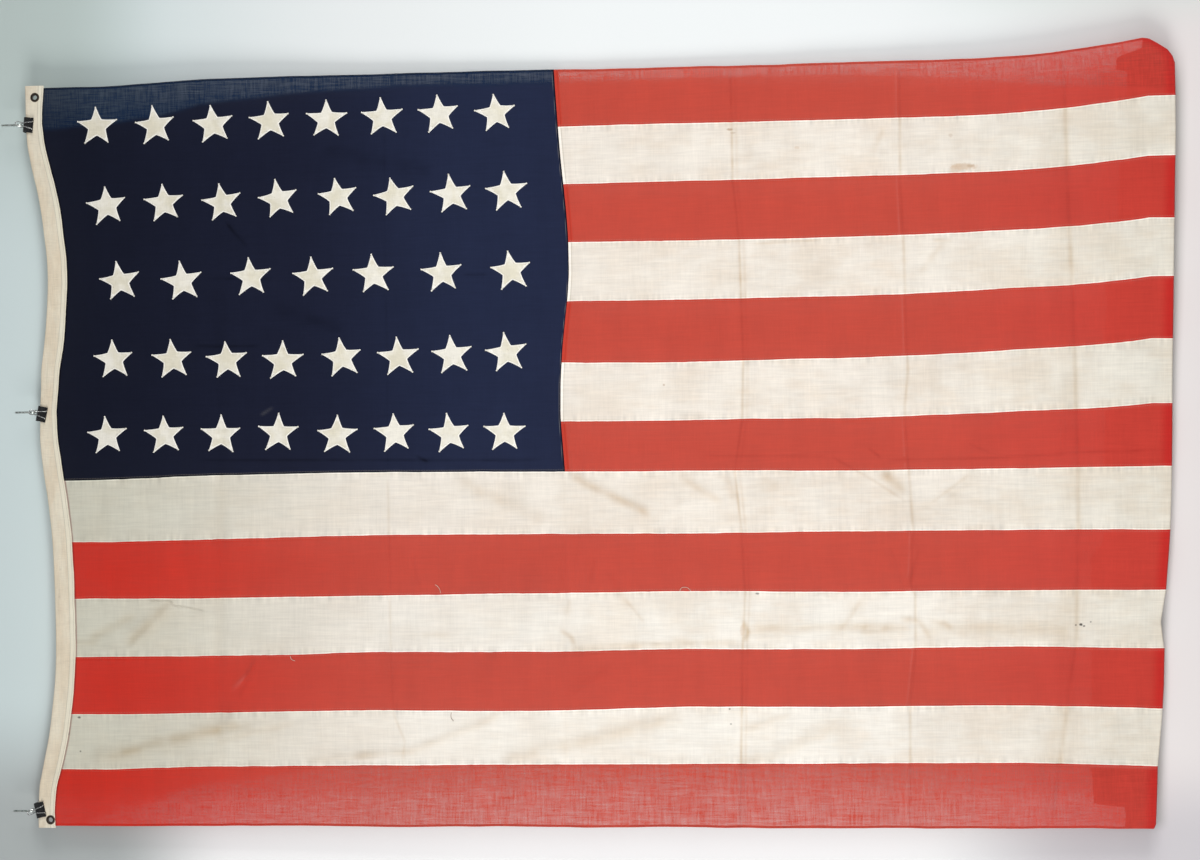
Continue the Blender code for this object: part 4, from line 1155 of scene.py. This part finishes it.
def star(number, u0, z0, turn):
    """One cotton star with turned edges, sewn to the face of the canton, and its twin on the back."""
    verts, faces, rims, mats = [], [], [], []
    for side in (-1, 1):
        seed = number * 2 + (side > 0)
        lines = [star_line(turn, seed, inset) for inset, lift in STAR_RINGS]
        count = len(lines[0])
        base = len(verts)
        for line, (inset, lift) in zip(lines, STAR_RINGS):
            for u, z in line:
                verts.append((u0 + u, z0 + z, lift, side))
                rims.append(inset * 1000.0)
        for ring in range(2):
            for k in range(count):
                a, n = base + ring * count, (k + 1) % count
                quad = (a + k, a + n, a + count + n, a + count + k)
                faces.append(quad if side < 0 else quad[::-1])
        inner = lines[2]
        points = [Vector(p) for p in inner]
        points += [Vector((float(a), float(c))) for a in STAR_FILL for c in STAR_FILL]
        bounds = [(k, (k + 1) % count) for k in range(count)]
        flat, _, found, origin, _, _ = delaunay_2d_cdt(points, bounds, [], 1, 1e-7)
        where = {}
        for k, (point, sources) in enumerate(zip(flat, origin)):
            ring_source = [s for s in sources if s < count]
            if ring_source:
                where[k] = base + 2 * count + ring_source[0]
                continue
            where[k] = len(verts)
            crumple = 0.00028 * float(noise(point.x / 0.012, point.y / 0.012 + number, 71))
            verts.append((u0 + point.x, z0 + point.y, 0.0007 + crumple, side))
            edge = min(math.hypot(point.x - a, point.y - c) for a, c in inner)
            rims.append((edge + STAR_RINGS[2][0]) * 1000.0)
        for face in found:
            face = [where[k] for k in face]
            faces.append(face if side < 0 else face[::-1])
        mats += [0] * (len(faces) - len(mats))
        # Sewing: short threads laid along the edge.
        path = star_line(turn, seed, 0.0024)
        for k in range(count):
            if k % len(STAR_SIDE) == len(STAR_SIDE) - 1:
                continue
            (ua, za), (ub, zb) = path[k], path[(k + 1) % count]
            length = math.hypot(ub - ua, zb - za)
            pieces = max(int(round(length / STITCH)), 1)
            for part in range(pieces):
                at = (part + 0.2) / pieces
                to = (part + 0.8) / pieces
                a = (ua + (ub - ua) * at, za + (zb - za) * at)
                c = (ua + (ub - ua) * to, za + (zb - za) * to)
                across = (-(zb - za) / length * 0.00022, (ub - ua) / length * 0.00022)
                n = len(verts)
                for (pu, pz), lift in ((a, 0.0009), (c, 0.0009)):
                    for sign, rise in ((-1, 0.0), (0, 0.0004), (1, 0.0)):
                        at_u, at_z = u0 + pu + across[0] * sign, z0 + pz + across[1] * sign
                        verts.append((at_u, at_z, lift + rise, side))
                        rims.append(9.0)
                for quad in ((n, n + 3, n + 4, n + 1), (n + 1, n + 4, n + 5, n + 2)):
                    faces.append(quad if side > 0 else quad[::-1])
                    mats.append(1)
    data = np.array(verts)
    u, z, lift, side = data.T
    rise, _ = creases(u, z)
    middle = cloth_y(u, z) - rise - cockle(u, z, 3)
    placed = np.stack([FLAG_X + u, middle + side * (0.0003 + lift), z], axis=1)
    return make_piece("star_%02d" % number, placed, faces, [STAR, THREAD], "white_bunting",
                      {"rim": rims}, mats)


# ---- Threads ----
THREAD_RADIUS = 0.00042
THREAD_STAND = 0.0011
FRAY_COUNT = 130
FRAY_SPAN = (-0.750, 0.770)
FRAY_LENGTH = (0.005, 0.016)
FRAY_LEAN = (-0.6, 0.6)
FRAY_RADIUS = 0.00035


def tube(points, radius):
    """Corners and faces of a thin tube along a line of points."""
    points, sides = [Vector(p) for p in points], 4
    verts, faces = [], []
    for k, point in enumerate(points):
        run = (points[min(k + 1, len(points) - 1)] - points[max(k - 1, 0)]).normalized()
        a = run.cross(Vector((0, 1, 0)))
        a = a.normalized() if a.length > 1e-6 else Vector((1, 0, 0))
        c = run.cross(a).normalized()
        thin = radius * (0.55 if k in (0, len(points) - 1) else 1.0)
        for side in range(sides):
            angle = 2 * math.pi * side / sides
            verts.append(point + (a * math.cos(angle) + c * math.sin(angle)) * thin)
    for k in range(len(points) - 1):
        for side in range(sides):
            n = (side + 1) % sides
            near, far = k * sides, (k + 1) * sides
            faces.append((near + side, near + n, far + n, far + side))
    return verts, faces


def thread_piece(name, runs, radius, mat, slot):
    verts, faces = [], []
    for run in runs:
        more, quads = tube(run, radius)
        faces += [tuple(i + len(verts) for i in quad) for quad in quads]
        verts += [tuple(v) for v in more]
    return make_piece(name, verts, faces, [mat], slot)


def smooth_run(points, steps):
    """More points on a soft curve through the given (u, z) places."""
    grown = [points[0]]
    for k in range(len(points) - 1):
        p0, p1 = points[max(k - 1, 0)], points[k]
        p2, p3 = points[k + 1], points[min(k + 2, len(points) - 1)]
        for step in range(1, steps + 1):
            t = step / steps
            grown.append(0.5 * (2 * p1 + (p2 - p0) * t + (2 * p0 - 5 * p1 + 4 * p2 - p3) * t * t
                                + (3 * p1 - p0 - 3 * p2 + p3) * t ** 3))
    return np.array(grown)


def on_cloth(places, stand):
    u, z = places[:, 0], places[:, 1]
    rise, _ = creases(u, z)
    return np.stack([FLAG_X + u, cloth_y(u, z) - rise - cockle(u, z, 3) - stand, z], axis=1)


def loose_threads():
    made = []
    for kind, mat, slot in ((0, THREAD, "white_bunting"), (1, DARK_THREAD, "red_bunting")):
        lines = [np.array(line) / 1000.0 for line, shade in THREADS if shade == kind]
        runs = [on_cloth(smooth_run(line, 5), THREAD_STAND) for line in lines]
        name = ("loose_thread_pale", "loose_thread_dark")[kind]
        made.append(thread_piece(name, runs, THREAD_RADIUS, mat, slot))
    return made


def frayed_edge(mats):
    """Broken threads left along the torn edge, hanging behind the flag."""
    rng = np.random.default_rng(7)
    groups = {0: [], 1: []}
    for u in np.sort(rng.uniform(*FRAY_SPAN, FRAY_COUNT)):
        flap = float(along(TORN_EDGE, u))
        number = int(np.searchsorted(-SEAMS_FLY, -u)) - 1
        length = float(rng.uniform(*FRAY_LENGTH))
        lean = float(rng.uniform(*FRAY_LEAN))
        y = float(cloth_y(np.array(u), np.array(flap))) + 2 * FOLD_RADIUS - FLAP_LEAN
        points = []
        for step in range(5):
            t = step / 4
            points.append((
                FLAG_X + u + lean * length * t + 0.001 * math.sin(5 * t + u * 90),
                y + 0.0004 + 0.0035 * t * (1 - 0.3 * t),
                flap - 0.002 + length * (t - 1.1 * t * t),
            ))
        groups[number % 2].append(points)
    return [
        thread_piece("frayed_" + colour, groups[kind], FRAY_RADIUS, mats[kind], colour + "_bunting")
        for kind, colour in enumerate(("red", "white"))
    ]


# ---- Putting the flag together ----
def build_flag():
    strip, strip_length = heading()
    canton, width, length = panel(
        "canton_cloth", 0, CANTON_STRIPES, long_start, canton_foot, False, (True, False),
        [BLUE], "blue_bunting", 20,
    )
    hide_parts("canton")
    stars = [star(number + 1, *place) for number, place in enumerate(star_places())]
    for number in range(len(WIDTHS_MID)):
        short = number < CANTON_STRIPES
        mat, slot = ((WHITE, "white_bunting") if number % 2 else (RED, "red_bunting"))
        piece, width, length = panel(
            "bunting_%02d" % (number + 1), number, number + 1, canton_end if short else long_start,
            None, True, (number == 0, number == len(WIDTHS_MID) - 1), [mat], slot, number,
        )
        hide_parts("stripe_%02d" % (number + 1))
    loose = loose_threads()
    frayed = frayed_edge([thread_mat("red_fray", (0.45, 0.05, 0.035)), THREAD])


def dress_hardware():
    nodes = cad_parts
    looks = {"grommet_1": BRASS, "grommet_2": BRASS}
    for number in (1, 2, 3):
        clip = "clip_%d" % number
        looks.update({clip: ENAMEL, clip + "_handle_front": WIRE, clip + "_handle_back": WIRE})
        looks["hook_%d" % number] = ROD
    for name, mat in looks.items():
        nodes[name].material_slots[0].material = mat


# ---- Stage, light and camera ----
FLOOR_Z = -2.75
WALL_Y = 0.0006


def plane(name, low, high, mat):
    """A flat stage piece between two corners: upright if they share y, level if they share z."""
    (x0, y0, z0), (x1, y1, z1) = low, high
    corners = [(x0, y0, z0), (x1, y0, z0), (x1, y1, z1), (x0, y1, z1)]
    mesh = bpy.data.meshes.new(name)
    mesh.from_pydata(corners, [], [(0, 1, 2, 3)])
    mesh.materials.append(mat)
    obj = bpy.data.objects.new(name, mesh)
    bpy.context.scene.collection.objects.link(obj)
    return obj


# Painted shade and painted light on the wall, laid over each other in this order: how each fades in
# across the wall and down it, and its colour. They follow the photo: painted shade above and beside
# the heading and at both lower corners, painted light under the middle of the cloth's lower edge.
EVERYWHERE = None
WALL_TONE = (0.64, 0.735, 0.74)
WALL_SHADE_AND_LIGHT = (
    (EVERYWHERE, (0.05, -0.75), (0.785, 0.81, 0.815)),
    ((0.30, 0.76), (-0.30, -0.05), (0.515, 0.595, 0.575)),
    (EVERYWHERE, (-1.9, -2.4), (0.76, 0.715, 0.71)),
    ((-0.78, -0.92), (-2.25, -1.70), (0.95, 0.95, 0.955)),
    ((-0.70, -0.88), (-1.80, -2.15), (0.60, 0.575, 0.60)),
    ((-0.58, -0.84), (-0.40, -0.12), (0.445, 0.480, 0.478)),
    ((0.70, 0.86), (-1.75, -2.10), (0.665, 0.715, 0.69)),
)
# A painted shadow line on the wall just under the flag's folded end: its two ends as (x, z).
FOLD_SHADOW_LINE = ((-0.86, -2.271), (0.70, -2.331))
FOLD_SHADOW_TONE = (0.30, 0.31, 0.29)


def wall_tone(b):
    """Pale painted board, with painted shade and light in patches and a painted shadow line just
    under the flag's folded end.
    """
    place = b.place()
    side, level = b.part(place, 0), b.part(place, 2)
    tone = WALL_TONE
    for across, down, colour in WALL_SHADE_AND_LIGHT:
        share = b.band(level, *down)
        if across is not EVERYWHERE:
            share = b.times(b.band(side, *across), share)
        tone = b.mix(share, tone, colour)
    # Painted shadow of the folded end on the wall, in a soft line just under it.
    (x0, z0), (x1, z1) = FOLD_SHADOW_LINE
    fold_shadow = b.band(b.plus(level, b.band(side, x0, x1, -z0, -z1)), -0.022, 0.004)
    fold_shadow = b.times(fold_shadow, b.band(side, 0.72, 0.60))
    fold_shadow = b.times(fold_shadow, b.band(side, -0.872, -0.84))
    fold_shadow = b.times(fold_shadow, b.band(level, -2.10, -2.22))
    tone = b.mix(b.times(fold_shadow, 0.5), tone, FOLD_SHADOW_TONE)
    cloud = b.line(b.noise(place, (1.6, 1, 1.6)), 0.06, 0.97)
    return b.shaded(tone, b.plus(cloud, b.around(b.grain(place, 300), 0.02)))


def floor_tone(b):
    return b.mix(b.noise(b.place(), (2, 2, 2), 3.0), (0.70, 0.71, 0.71), (0.76, 0.76, 0.76))


def area_light(name, at, aim, size, power, colour=(1, 1, 1), spread=180):
    data = bpy.data.lights.new(name, "AREA")
    data.shape = "RECTANGLE"
    data.size, data.size_y = size
    data.spread = math.radians(spread)
    data.energy = power
    data.color = colour
    obj = bpy.data.objects.new(name, data)
    bpy.context.scene.collection.objects.link(obj)
    obj.location = at
    obj.rotation_mode = "QUATERNION"
    obj.rotation_quaternion = (Vector(aim) - Vector(at)).to_track_quat("-Z", "Y")
    obj.visible_camera = False
    return obj


def build_stage():
    wall = backdrop("stage_wall", wall_tone)
    plane("wall", (-4.5, WALL_Y, FLOOR_Z), (4.5, WALL_Y, 3.0), wall)
    ground = backdrop("stage_floor", floor_tone)
    plane("floor", (-8, -8, FLOOR_Z), (8, 8, FLOOR_Z), ground)

    middle = (-0.09, 0.0, -1.45)
    warm, cool = (1.0, 0.99, 0.97), (0.97, 0.99, 1.0)
    area_light("lamp_union_side", (4.6, -3.5, -1.45), middle, (2.6, 2.6), 34.0, warm, 75)
    area_light("lamp_other_side", (-4.8, -3.6, -1.45), middle, (2.6, 2.6), 46.5, warm, 75)
    area_light("fill", (0.15, -2.45, -1.45), (-0.05, 0.0, -1.45), (3.6, 0.5), 23.0, cool)
    area_light("behind", (0.3, 4.2, -0.6), middle, (3.0, 3.0), 70.0)
    world = bpy.data.worlds.new("studio")
    world.use_nodes = True
    world.node_tree.nodes["Background"].inputs["Color"].default_value = (0.93, 0.96, 1.0, 1.0)
    world.node_tree.nodes["Background"].inputs["Strength"].default_value = 0.21
    bpy.context.scene.world = world
    bpy.context.scene.view_settings.view_transform = "Standard"
    bpy.context.scene.view_settings.look = "None"


CAMERA_AT = (-0.0537, -3.646, -1.463)
CAMERA_UP_TILT = math.radians(4.62)
CAMERA_ROLL = math.radians(0.844)
CAMERA_LENS = 53.92


def build_camera():
    """The picture was taken with the flag's fall to the right, so the camera lies on its side."""
    ahead = Vector((0, math.cos(CAMERA_UP_TILT), math.sin(CAMERA_UP_TILT)))
    up = Vector((0, -math.sin(CAMERA_UP_TILT), math.cos(CAMERA_UP_TILT)))
    right = Vector((1, 0, 0))
    x_axis = -math.cos(CAMERA_ROLL) * up - math.sin(CAMERA_ROLL) * right
    y_axis = -math.sin(CAMERA_ROLL) * up + math.cos(CAMERA_ROLL) * right
    data = bpy.data.cameras.new("camera")
    data.lens = CAMERA_LENS
    data.sensor_width = 36.0
    data.sensor_fit = "HORIZONTAL"
    data.clip_start, data.clip_end = 0.05, 60.0
    camera = bpy.data.objects.new("camera", data)
    bpy.context.scene.collection.objects.link(camera)
    turned = Matrix((x_axis, y_axis, -ahead)).transposed()
    camera.matrix_world = Matrix.Translation(CAMERA_AT) @ turned.to_4x4()
    bpy.context.scene.camera = camera


build_camera()
build_flag()
dress_hardware()
build_stage()

bpy.context.view_layer.update()
